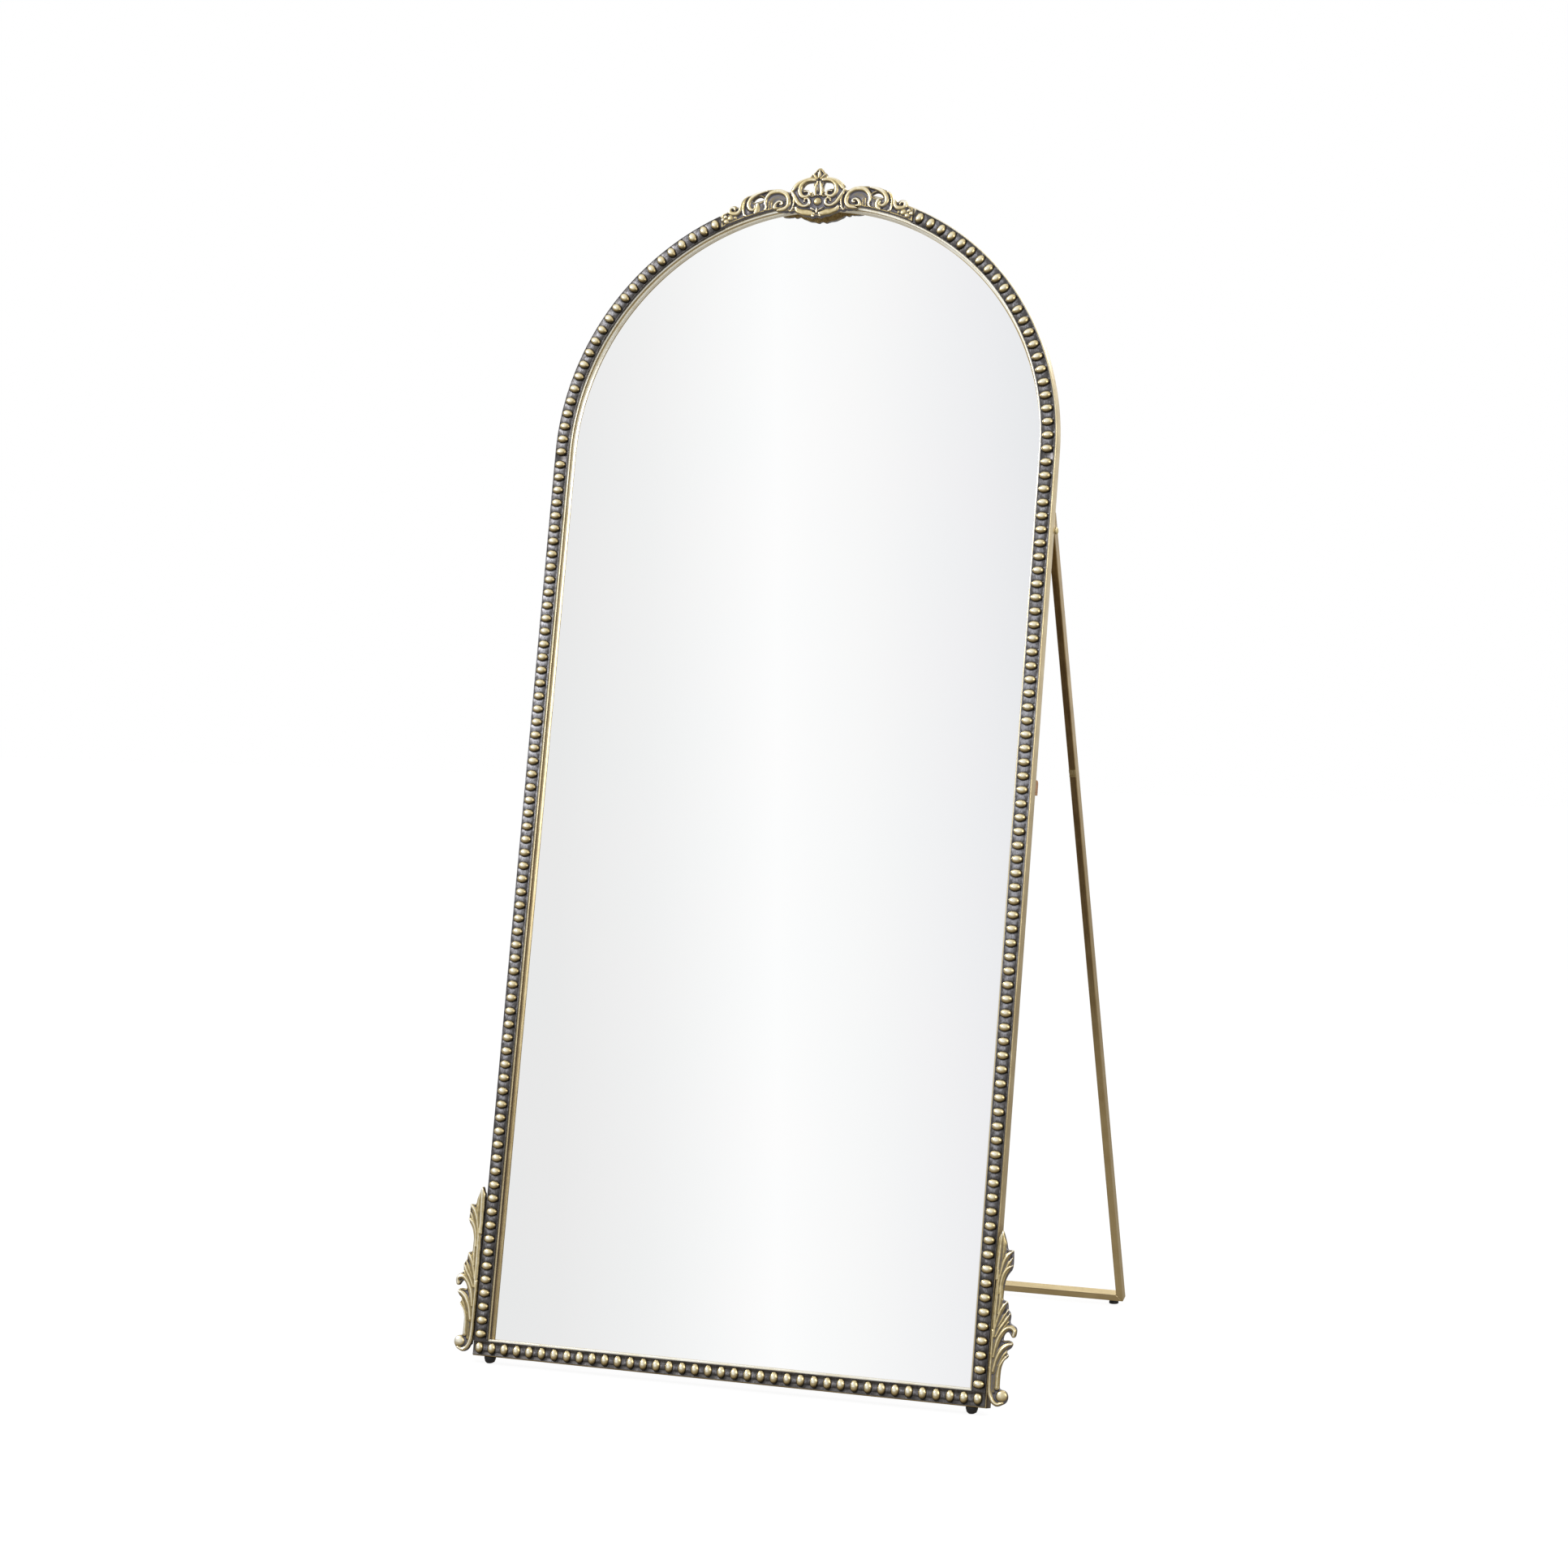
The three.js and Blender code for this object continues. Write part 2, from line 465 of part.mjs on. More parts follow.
/** Hollow rebated section. `across` turns the distance in from the outer face into the shape's X. */
function barSection(across) {
  const toPairs = (pairs) => pairs.map(([inwards, depth]) => [across(inwards), depth]);
  const outline = [
    [0, BAR_CHAMFER], [BAR_CHAMFER, 0], [BAR_FACE, 0], [BAR_FACE, REBATE_FRONT],
    [RIM_WIDTH, REBATE_FRONT], [RIM_WIDTH, BAR_DEPTH], [0, BAR_DEPTH],
  ];
  const hollow = [
    [BAR_WALL, BAR_WALL], [BAR_FACE - BAR_WALL, BAR_WALL], [BAR_FACE - BAR_WALL, REBATE_FRONT - BAR_WALL],
    [RIM_WIDTH - BAR_WALL, REBATE_FRONT - BAR_WALL], [RIM_WIDTH - BAR_WALL, BAR_DEPTH - BAR_WALL],
    [BAR_WALL, BAR_DEPTH - BAR_WALL],
  ];
  return polygon(toPairs(outline), toPairs(hollow));
}

function sideBar(side) {
  const bar = solid(extrude(barSection((inwards) => side * (HALF_WIDTH - inwards)), ARCH_CENTRE_HEIGHT));
  return cut(bar, mitreCutter(side, 0, false));
}

function bottomBar() {
  const blank = extrude(barSection((inwards) => inwards), FRAME_WIDTH);
  const bar = solid(lay(blank, Z_AXIS, Y_AXIS, new THREE.Vector3(HALF_WIDTH, 0, 0)));
  return cut(bar, mitreCutter(-1, 0, true), mitreCutter(1, 0, true));
}

function archBar() {
  const joint = SEAT_GAP / (HALF_WIDTH - BAR_FACE);
  return bend(barSection((inwards) => HALF_WIDTH - inwards), joint, Math.PI - joint);
}

/** Arched sheet that reaches a margin past the visible opening. */
function archedShape(margin) {
  const radius = HALF_WIDTH - BAR_FACE + margin;
  const shape = new THREE.Shape();
  shape.moveTo(-radius, BAR_FACE - margin);
  shape.lineTo(radius, BAR_FACE - margin);
  shape.lineTo(radius, ARCH_CENTRE_HEIGHT);
  shape.absarc(0, ARCH_CENTRE_HEIGHT, radius, 0, Math.PI, false);
  return shape;
}

const SHEET_MARGIN = REBATE_WIDTH - GLASS_EDGE_GAP;
const ARCH_SEGMENTS = Math.ceil(180 / ARCH_STEP_DEGREES);

/** Glass as three layers of one outline: the front layer is drawn in by the width of the bevel. */
function mirrorGlass() {
  const geometry = extrude(archedShape(SHEET_MARGIN), 1, 2, ARCH_SEGMENTS);
  const depths = [GLASS_FRONT + GLASS_THICKNESS, GLASS_FRONT + GLASS_BEVEL_DEPTH, GLASS_FRONT];
  const front = depths.length - 1;
  const half = HALF_WIDTH - BAR_FACE + SHEET_MARGIN;
  const drop = ARCH_CENTRE_HEIGHT - BAR_FACE + SHEET_MARGIN;
  const place = geometry.attributes.position;
  for (let i = 0; i < place.count; i += 1) {
    const layer = Math.round(front * place.getZ(i));
    const inset = layer === front ? GLASS_BEVEL_WIDTH : 0;
    const height = place.getY(i) - ARCH_CENTRE_HEIGHT;
    const vertical = 1 - inset / (height > 0 ? half : drop);
    const x = place.getX(i) * (1 - inset / half);
    place.setXYZ(i, x, depths[layer], ARCH_CENTRE_HEIGHT + height * vertical);
  }
  return solid(geometry);
}

function backingBoard() {
  return solid(plate(archedShape(SHEET_MARGIN), BOARD_FRONT, BOARD_BACK, ARCH_SEGMENTS));
}

// ---------------------------------------------------------------- beaded strips

/** One bead: an oval button turned to lie across its strip. */
function bead(x, z, angle) {
  const [reach, rise] = BEAD_SHOULDER;
  const profile = [[0, -SINK], [1, -SINK], [reach, rise * BEAD_HEIGHT], [0, BEAD_HEIGHT]];
  const geometry = turned(profile, new THREE.Vector3(0, -1, 0), new THREE.Vector3(), BEAD_SIDES);
  geometry.scale(BEAD_ACROSS / 2, 1, BEAD_ALONG / 2);
  return geometry.rotateY(-angle).translate(x, -SEAT_GAP - STRIP_THICKNESS, z);
}

function beads(count, at) {
  return solid(mergeGeometries(Array.from({ length: count }, (_, i) => bead(...at(i)))));
}

function flatStrip(x0, x1, z0, z1) {
  return block(x0, x1, -SEAT_GAP - STRIP_THICKNESS, -SEAT_GAP, z0, z1);
}

function bottomStrip() {
  const strip = flatStrip(-STRIP_OUTER, STRIP_OUTER, STRIP_MARGIN, STRIP_MARGIN + STRIP_WIDTH);
  const row = beads(BOTTOM_BEADS + 1, (i) => [i * BOTTOM_BEAD_STEP - BEAD_RADIUS, BEAD_INSET, Math.PI / 2]);
  return union(strip, row);
}

/** Side strip: from the bottom strip to half a step below the beads on the arch's centre line. */
function sideStrip(side) {
  const [x0, x1] = [side * STRIP_INNER, side * STRIP_OUTER].sort((a, b) => a - b);
  const foot = STRIP_MARGIN + STRIP_WIDTH + SEAT_GAP;
  const strip = flatStrip(x0, x1, foot, ARCH_CENTRE_HEIGHT - SIDE_BEAD_STEP / 2);
  const row = beads(SIDE_BEADS - 1, (i) => [side * BEAD_RADIUS, BEAD_INSET + (i + 1) * SIDE_BEAD_STEP, 0]);
  return union(strip, row);
}

/** Arch strip: from half a step below the arch's centre line up to the crest. */
function archStrip(side) {
  const section = polygon(rectangle(STRIP_INNER, STRIP_OUTER, -SEAT_GAP - STRIP_THICKNESS, -SEAT_GAP));
  const turn = (angle) => (side > 0 ? angle : Math.PI - angle);
  const start = turn(SEAT_GAP / BEAD_RADIUS - ARCH_BEAD_STEP / 2);
  const end = turn(CREST_END - SEAT_GAP / BEAD_RADIUS);
  const strip = bend(section, Math.min(start, end), Math.max(start, end));
  const count = Math.floor(CREST_END / ARCH_BEAD_STEP - 0.5) + 1;
  const row = beads(count, (i) => {
    const angle = turn(i * ARCH_BEAD_STEP);
    return [BEAD_RADIUS * Math.cos(angle), ARCH_CENTRE_HEIGHT + BEAD_RADIUS * Math.sin(angle), angle];
  });
  return union(strip, row);
}

// ---------------------------------------------------------------- crest

function crestPoint(side) {
  return ([x, z]) => new THREE.Vector2(side * x * MODULE, CREST_DATUM + z * MODULE);
}

function crestBand(side, { line, widths }) {
  return ridgedBand(line.map(crestPoint(side)), widths, CREST_FRONT - CREST_RISE, CREST_EDGE, CREST_FRONT + SINK);
}

function crestBoss(side, [x, z, radius]) {
  const centre = crestPoint(side)([x, z]);
  return boss(centre, radius * MODULE, CREST_FRONT - CREST_RISE, CREST_EDGE, CREST_FRONT + SINK);
}

function crestOutline(points) {
  return polygon(points.map(([x, z]) => [x * MODULE, CREST_DATUM + z * MODULE]));
}

function crestCentre() {
  const mirrored = (points) => points.map(([x, z]) => [-x, z]);
  const outline = [...CENTRE_OUTLINE, ...mirrored(CENTRE_OUTLINE.slice(1, -1)).reverse()];
  const base = solid(plate(crestOutline(outline), CREST_FRONT, -SEAT_GAP));
  const openings = [CENTRE_OPENING, mirrored(CENTRE_OPENING)]
    .map((points) => solid(plate(crestOutline(points), 2 * CREST_FRONT, BAR_DEPTH)));
  const relief = [
    ...SIDES.flatMap(([, side]) => CENTRE_BANDS.map((band) => crestBand(side, band))),
    ...CENTRE_SPINE.map((band) => crestBand(1, band)),
    ...CENTRE_BOSSES.map((spot) => crestBoss(1, spot)),
  ];
  const half = CREST_JOINT - SEAT_GAP / 2;
  const keep = block(-half, half, 4 * CREST_FRONT, BAR_DEPTH, ARCH_CENTRE_HEIGHT, 2 * ARCH_CENTRE_HEIGHT);
  return union(cut(base, ...openings), ...relief).intersect(keep);
}

/** Wing: a stretch of the arch's own curve, with scrolls rising over it, cut off at the centre piece. */
function crestWing(side) {
  const section = polygon(rectangle(STRIP_INNER, STRIP_OUTER, CREST_FRONT, -SEAT_GAP));
  const inner = Math.PI / 2;
  const curve = side > 0 ? bend(section, CREST_END, inner) : bend(section, inner, Math.PI - CREST_END);
  const scrolls = [WING_OUTLINE, WING_TIP]
    .map((points) => solid(plate(crestOutline(points.map(([x, z]) => [side * x, z])), CREST_FRONT, -SEAT_GAP)));
  const [radiusX, radiusZ] = WING_OPENING.radii;
  const lens = new THREE.Shape();
  const lensCentre = crestPoint(side)([WING_OPENING.x, WING_OPENING.z]);
  lens.absellipse(lensCentre.x, lensCentre.y, radiusX * MODULE, radiusZ * MODULE, 0, 2 * Math.PI, false);
  const opening = solid(plate(lens, 2 * CREST_FRONT, BAR_DEPTH, 5));
  const relief = [
    ...WING_BANDS.map((band) => crestBand(side, band)),
    ...WING_BOSSES.map((spot) => crestBoss(side, spot)),
  ];
  const [x, z, radius] = WING_VOLUTE;
  const volute = boss(crestPoint(side)([x, z]), radius * MODULE, CREST_EDGE, CREST_FRONT, -SEAT_GAP, ROUND_SIDES);
  const start = CREST_JOINT + SEAT_GAP / 2;
  const [x0, x1] = [side * start, side * FRAME_WIDTH].sort((a, b) => a - b);
  const keep = block(x0, x1, 4 * CREST_FRONT, BAR_DEPTH, ARCH_CENTRE_HEIGHT, 2 * ARCH_CENTRE_HEIGHT);
  return union(cut(union(curve, ...scrolls), opening), volute, ...relief).intersect(keep);
}

// ---------------------------------------------------------------- corner leaves

function leafPoint(side) {
  return ([x, z]) => new THREE.Vector2(side * (HALF_WIDTH + x * MODULE), BEAD_INSET + z * MODULE);
}

function cornerLeaf(side) {
  const lobes = LEAF_LOBES.map(({ line, widths }) => (
    ridgedBand(line.map(leafPoint(side)), widths, LEAF_FRONT - LEAF_RISE, LEAF_FRONT, LEAF_BACK)
  ));
  const [x, z, radius] = LEAF_BALL;
  const centre = leafPoint(side)([x, z]);
  const ball = boss(centre, radius * MODULE, LEAF_FRONT - LEAF_RISE, LEAF_FRONT, LEAF_BACK, ROUND_SIDES);
  const outline = LEAF_WEB.map(leafPoint(side)).map((point) => point.toArray());
  const web = solid(plate(polygon(outline), LEAF_FRONT + LEAF_WEB_RECESS, LEAF_BACK));
  const tabs = LEAF_TAB_PLACES.map((height) => {
    const start = HALF_WIDTH + SEAT_GAP;
    const [x0, x1] = [side * start, side * (start + LEAF_TAB_REACH)].sort((a, b) => a - b);
    const middle = BEAD_INSET + height * MODULE;
    const half = LEAF_TAB_HEIGHT / 2;
    return block(x0, x1, LEAF_FRONT + LEAF_WEB_RECESS, LEAF_TAB_BACK, middle - half, middle + half);
  });
  return union(web, ...lobes, ball, ...tabs);
}

// ---------------------------------------------------------------- screws, clips, hinge and latch

/** Pan-head screw whose head sits on a seat and whose shank runs forward into a bar. */
function screwAt(x, seat, z) {
  const reach = seat - BAR_DEPTH + BAR_WALL + SCREW_REACH;
  const head = SEAT_GAP;
  const profile = [
    [0, -reach], [SCREW_RADIUS, -reach], [SCREW_RADIUS, head], [SCREW_HEAD_RADIUS, head],
    [0.8 * SCREW_HEAD_RADIUS, head + SCREW_HEAD_HEIGHT], [0, head + SCREW_HEAD_HEIGHT],
  ];
  return solid(turned(profile, Y_AXIS, new THREE.Vector3(x, seat, z), SCREW_SIDES));
}

function screwHole(x, z) {
  const origin = new THREE.Vector3(x, BAR_DEPTH, z);
  return rod(SCREW_RADIUS + HOLE_GAP, Y_AXIS, origin, -2 * BAR_WALL, BAR_WALL + FLANGE_THICKNESS, SCREW_SIDES);
}

/** Places of the board clips: a point on the rim's inner edge and the direction out over the rim. */
function clipPlaces() {
  const places = SIDE_CLIP_SHARES.flatMap((share) => SIDES.map(([, side]) => ({
    bar: side > 0 ? 'right' : 'left',
    origin: new THREE.Vector3(side * RIM_HALF_WIDTH, 0, share * ARCH_CENTRE_HEIGHT),
    outwards: new THREE.Vector3(side, 0, 0),
  })));
  for (const [, side] of SIDES) {
    const angle = Math.PI / 2 - side * THREE.MathUtils.degToRad(90 - ARCH_CLIP_DEGREES);
    const outwards = new THREE.Vector3(Math.cos(angle), 0, Math.sin(angle));
    const origin = outwards.clone().multiplyScalar(RIM_HALF_WIDTH).setY(0);
    origin.z += ARCH_CENTRE_HEIGHT;
    places.push({ bar: 'arch', origin, outwards });
  }
  for (const [, side] of SIDES) {
    const origin = new THREE.Vector3(side * BOTTOM_CLIP_SHARE * HALF_WIDTH, 0, RIM_WIDTH);
    places.push({ bar: 'bottom', origin, outwards: Z_AXIS.clone().negate() });
  }
  return places;
}

function clipScrewSpot({ origin, outwards }) {
  return origin.clone().addScaledVector(outwards, CLIP_FOOT / 2);
}

/** Z-shaped clip: foot on the back of the bar, step down into the rebate, tongue over the board. */
function boardClip(place) {
  const footBack = BAR_BACK_SEAT + CLIP_THICKNESS;
  const tongue = BOARD_BACK + SEAT_GAP;
  const profile = polygon([
    [CLIP_FOOT, BAR_BACK_SEAT], [CLIP_FOOT, footBack], [-SEAT_GAP - CLIP_THICKNESS, footBack],
    [-SEAT_GAP - CLIP_THICKNESS, tongue + CLIP_THICKNESS], [-CLIP_TONGUE, tongue + CLIP_THICKNESS],
    [-CLIP_TONGUE, tongue], [-SEAT_GAP, tongue], [-SEAT_GAP, BAR_BACK_SEAT],
  ]);
  const blank = extrude(profile, CLIP_WIDTH).translate(0, 0, -CLIP_WIDTH / 2);
  const spot = clipScrewSpot(place);
  return cut(solid(lay(blank, place.outwards, Y_AXIS, place.origin)), screwHole(spot.x, spot.z));
}

function hingeBracket(side) {
  const half = FLANGE_LENGTH / 2;
  const [x0, x1] = [side * (EAR_OUTER - FLANGE_WIDTH), side * EAR_OUTER].sort((a, b) => a - b);
  const flangeBack = BAR_BACK_SEAT + FLANGE_THICKNESS;
  const flange = block(x0, x1, BAR_BACK_SEAT, flangeBack, HINGE_HEIGHT - half, HINGE_HEIGHT + half);
  const outline = new THREE.Shape();
  outline.moveTo(BAR_BACK_SEAT + SINK, HINGE_HEIGHT - EAR_RADIUS);
  outline.absarc(HINGE_DEPTH, HINGE_HEIGHT, EAR_RADIUS, -Math.PI / 2, Math.PI / 2, false);
  outline.lineTo(BAR_BACK_SEAT + SINK, HINGE_HEIGHT + EAR_RADIUS);
  const ear = solid(crosswise(outline, side * (EAR_OUTER - EAR_THICKNESS / 2), EAR_THICKNESS));
  const holes = [-1, 1].map((way) => (
    screwHole(side * BRACKET_SCREW_X, HINGE_HEIGHT + way * BRACKET_SCREW_OFFSET)
  ));
  return cut(union(flange, ear), ...holes, hingeBore(side, HINGE_DEPTH, HINGE_HEIGHT));
}

/** Bore for the hinge pin, through bracket, washer, nut or leg. */
function hingeBore(side, y, z) {
  const origin = new THREE.Vector3(0, y, z);
  return rod(PIN_RADIUS + HOLE_GAP, sideways(side), origin, NUT_INNER - 1, HALF_WIDTH + 1);
}

function sideways(side) {
  return X_AXIS.clone().multiplyScalar(side);
}

function hingePoint() {
  return new THREE.Vector3(0, HINGE_DEPTH, HINGE_HEIGHT);
}

function hingePin(side) {
  const seat = HALF_WIDTH + SEAT_GAP;
  const profile = [
    [0, NUT_INNER - PIN_END], [PIN_RADIUS, NUT_INNER - PIN_END], [PIN_RADIUS, seat], [PIN_HEAD_RADIUS, seat],
    [0.75 * PIN_HEAD_RADIUS, seat + PIN_HEAD_HEIGHT], [0, seat + PIN_HEAD_HEIGHT],
  ];
  return solid(turned(profile, sideways(side), hingePoint()));
}

function hingeWasher(side) {
  const start = EAR_OUTER + SEAT_GAP;
  const disc = rod(WASHER_RADIUS, sideways(side), hingePoint(), start, start + WASHER_THICKNESS);
  return cut(disc, hingeBore(side, HINGE_DEPTH, HINGE_HEIGHT));
}

function hingeNut(side) {
  const nut = rod(NUT_RADIUS, sideways(side), hingePoint(), NUT_INNER, NUT_INNER + NUT_THICKNESS, 6);
  return cut(nut, hingeBore(side, HINGE_DEPTH, HINGE_HEIGHT));
}

/** Latch block in profile: a narrow neck, then a taller head with its upper back corner rounded. */
function latchBlock(side) {
  const middle = HINGE_HEIGHT - LATCH_DISTANCE;
  const neck = BAR_BACK_SEAT + LATCH_NECK_DEPTH;
  const back = neck + LATCH_HEAD_DEPTH;
  const head = LATCH_HEAD_HEIGHT / 2;
  const shape = new THREE.Shape();
  shape.moveTo(BAR_BACK_SEAT, middle - LATCH_NECK_HEIGHT / 2);
  shape.lineTo(neck, middle - LATCH_NECK_HEIGHT / 2);
  shape.lineTo(neck, middle - head);
  shape.lineTo(back, middle - head);
  const rounding = LATCH_HEAD_ROUNDING;
  shape.absarc(back - rounding, middle + head - rounding, rounding, 0, Math.PI / 2, false);
  shape.lineTo(neck, middle + head);
  shape.lineTo(neck, middle + LATCH_NECK_HEIGHT / 2);
  shape.lineTo(BAR_BACK_SEAT, middle + LATCH_NECK_HEIGHT / 2);
  return solid(crosswise(shape, side * LEG_CENTRE_X, LATCH_WIDTH));
}

// ---------------------------------------------------------------- stand, in its own frame

/** Leg: its top is rounded about the hinge, then cut slanting so that it rests on the frame's back. */
function standLeg(side) {
  const half = LEG_DEPTH / 2;
  const shape = new THREE.Shape();
  shape.moveTo(half, LEG_TOP);
  shape.lineTo((LEG_TOP * Math.sin(OPENING) - half) / Math.cos(OPENING), LEG_TOP);
  shape.lineTo(-half * Math.cos(OPENING), half * Math.sin(OPENING));
  shape.absarc(0, 0, half, Math.PI - OPENING, Math.PI, false);
  shape.lineTo(-half, -LEG_LENGTH);
  shape.lineTo(half, -LEG_LENGTH);
  const leg = solid(crosswise(shape, side * LEG_CENTRE_X, LEG_WIDTH));
  const inner = LEG_WIDTH / 2 - TUBE_WALL;
  const x = side * LEG_CENTRE_X;
  const hollow = block(x - inner, x + inner, TUBE_WALL - half, half - TUBE_WALL, -LEG_LENGTH - 1, -LEG_PLUG);
  return cut(leg, hollow, mitreCutter(side, -LEG_LENGTH, false), hingeBore(side, 0, 0));
}

function standCrossbar() {
  const half = LEG_DEPTH / 2;
  const low = -LEG_LENGTH;
  const high = LEG_WIDTH - LEG_LENGTH;
  const section = polygon(
    rectangle(-half, half, low, high),
    rectangle(TUBE_WALL - half, half - TUBE_WALL, low + TUBE_WALL, high - TUBE_WALL),
  );
  const bar = solid(crosswise(section, 0, FRAME_WIDTH));
  const studs = [-REAR_FOOT_X, REAR_FOOT_X].map((x) => studHole(x, 0, low));
  return cut(bar, mitreCutter(-1, low, true), mitreCutter(1, low, true), ...studs);
}

/** Slotted strike on the front of a leg: two lips across a thin base. */
function latchPlate(side) {
  const back = -LEG_DEPTH / 2 - SEAT_GAP;
  const base = back - LATCH_PLATE_BASE;
  const front = back - LATCH_PLATE_PROUD;
  const height = LATCH_PLATE_UPPER_LIP + LATCH_PLATE_SLOT + LATCH_PLATE_LOWER_LIP;
  const bottom = -LATCH_DISTANCE - height / 2;
  const slotLow = bottom + LATCH_PLATE_LOWER_LIP;
  const slotHigh = slotLow + LATCH_PLATE_SLOT;
  const shape = polygon([
    [back, bottom], [front, bottom], [front, slotLow], [base, slotLow], [base, slotHigh],
    [front, slotHigh], [front, bottom + height], [back, bottom + height],
  ]);
  return solid(crosswise(shape, side * LEG_CENTRE_X, LEG_WIDTH - 2 * LATCH_PLATE_INSET));
}

// ---------------------------------------------------------------- feet

function studHole(x, y, z) {
  return rod(FOOT_STUD_RADIUS + HOLE_GAP, Z_AXIS, new THREE.Vector3(x, y, z), -1, 2 * BAR_WALL);
}

/** Foot: a stud up into its bar, then a body down to the floor, where it is cut level. */
function foot(profile, x, y, z, group) {
  const stud = [[FOOT_STUD_RADIUS, SEAT_GAP], [FOOT_STUD_RADIUS, -FOOT_STUD_LENGTH], [0, -FOOT_STUD_LENGTH]];
  const downwards = profile.concat(stud).reverse();
  const blank = turned(downwards, Z_AXIS.clone().negate(), new THREE.Vector3(x, y, z));
  return cut(solid(blank), belowFloor(group));
}

/** Tapering glide under the bottom bar. */
function frontFoot(side, group) {
  const radius = FRONT_FOOT_RADIUS;
  const profile = [
    [0, FRONT_FOOT_HEIGHT], [0.5 * radius, FRONT_FOOT_HEIGHT], [0.78 * radius, 0.5 * FRONT_FOOT_HEIGHT],
    [0.96 * radius, 0.2 * FRONT_FOOT_HEIGHT], [radius, SEAT_GAP],
  ];
  return foot(profile, side * FRONT_FOOT_X, BAR_DEPTH / 2, 0, group);
}

/** Ball-shaped glide under the crossbar. */
function rearFoot(side, group) {
  const radius = REAR_FOOT_RADIUS;
  const profile = [
    [0, REAR_FOOT_HEIGHT], [0.7 * radius, REAR_FOOT_HEIGHT], [radius, 0.6 * REAR_FOOT_HEIGHT],
    [radius, 0.35 * REAR_FOOT_HEIGHT], [0.72 * radius, 0.12 * REAR_FOOT_HEIGHT], [0.72 * radius, SEAT_GAP],
  ];
  return foot(profile, side * REAR_FOOT_X, 0, -LEG_LENGTH, group);
}

// ---------------------------------------------------------------- assembly

function buildMirror(mirror) {
  const places = clipPlaces();
  const holesIn = (bar) => places.filter((place) => place.bar === bar).map((place) => {
    const spot = clipScrewSpot(place);
    return screwHole(spot.x, spot.z);
  });
  for (const [name, side] of SIDES) {
    const bracketHoles = [-1, 1].map((way) => (
      screwHole(side * BRACKET_SCREW_X, HINGE_HEIGHT + way * BRACKET_SCREW_OFFSET)
    ));
    addPiece(mirror, `frame_stile_${name}`, cut(sideBar(side), ...holesIn(name), ...bracketHoles), FINISHES.gold);
  }
  const studHoles = [-FRONT_FOOT_X, FRONT_FOOT_X].map((x) => studHole(x, BAR_DEPTH / 2, 0));
  addPiece(mirror, 'frame_arch_rail', cut(archBar(), ...holesIn('arch')), FINISHES.gold);
  addPiece(mirror, 'frame_bottom_rail', cut(bottomBar(), ...holesIn('bottom'), ...studHoles), FINISHES.gold);
  addPiece(mirror, 'mirror_glass', mirrorGlass(), FINISHES.silvered);
  addPiece(mirror, 'backing_board', backingBoard(), FINISHES.hardboard);
  addPiece(mirror, 'bead_strip_bottom', bottomStrip(), FINISHES.pewter);
  addPiece(mirror, 'crest_centre', crestCentre(), FINISHES.brass);
  places.forEach((place, i) => {
    const spot = clipScrewSpot(place);
    addPiece(mirror, `board_clip_${i + 1}`, boardClip(place), FINISHES.zinc);
    addPiece(mirror, `clip_screw_${i + 1}`, screwAt(spot.x, BAR_BACK_SEAT + CLIP_THICKNESS, spot.z), FINISHES.zinc);
  });
  for (const [name, side] of SIDES) {
    addPiece(mirror, `bead_strip_${name}`, sideStrip(side), FINISHES.pewter);
    addPiece(mirror, `bead_strip_arch_${name}`, archStrip(side), FINISHES.pewter);
    addPiece(mirror, `crest_wing_${name}`, crestWing(side), FINISHES.brass);
    addPiece(mirror, `corner_leaf_${name}`, cornerLeaf(side), FINISHES.brass);
    addPiece(mirror, `hinge_bracket_${name}`, hingeBracket(side), FINISHES.zinc);
    for (const [end, way] of [['lower', -1], ['upper', 1]]) {
      const height = HINGE_HEIGHT + way * BRACKET_SCREW_OFFSET;
      const screw = screwAt(side * BRACKET_SCREW_X, BAR_BACK_SEAT + FLANGE_THICKNESS, height);
      addPiece(mirror, `bracket_screw_${end}_${name}`, screw, FINISHES.zinc);
    }
    addPiece(mirror, `hinge_pin_${name}`, hingePin(side), FINISHES.zinc);
    addPiece(mirror, `hinge_washer_${name}`, hingeWasher(side), FINISHES.zinc);
    addPiece(mirror, `hinge_nut_${name}`, hingeNut(side), FINISHES.zinc);
    addPiece(mirror, `latch_block_${name}`, latchBlock(side), FINISHES.latch);
    addPiece(mirror, `foot_front_${name}`, frontFoot(side, mirror), FINISHES.blackPlastic);
  }
}

function buildStand(stand) {
  addPiece(stand, 'stand_crossbar', standCrossbar(), FINISHES.standGold);
  for (const [name, side] of SIDES) {
    addPiece(stand, `stand_leg_${name}`, standLeg(side), FINISHES.standGold);
    addPiece(stand, `latch_plate_${name}`, latchPlate(side), FINISHES.brass);
    addPiece(stand, `foot_rear_${name}`, rearFoot(side, stand), FINISHES.blackPlastic);
  }
}

const part = new THREE.Group();
part.name = 'leaning_floor_mirror';

const mirrorGroup = new THREE.Group();
mirrorGroup.name = 'mirror_group';
mirrorGroup.rotation.x = -LEAN;

const standGroup = new THREE.Group();
standGroup.name = 'stand_group';
standGroup.position.copy(hingePoint().applyAxisAngle(X_AXIS, -LEAN));
standGroup.rotation.x = STAND_SPLAY;

buildMirror(mirrorGroup);
buildStand(standGroup);
part.add(mirrorGroup, standGroup);
part.updateMatrixWorld(true);

// The middle of the underside of the whole part becomes the origin
const bounds = new THREE.Box3().setFromObject(part, true);
const shift = new THREE.Vector3(bounds.min.x + bounds.max.x, bounds.min.y + bounds.max.y, 2 * bounds.min.z);
shift.multiplyScalar(-0.5);
for (const group of [mirrorGroup, standGroup]) group.position.add(shift);
part.updateMatrixWorld(true);

export default part;
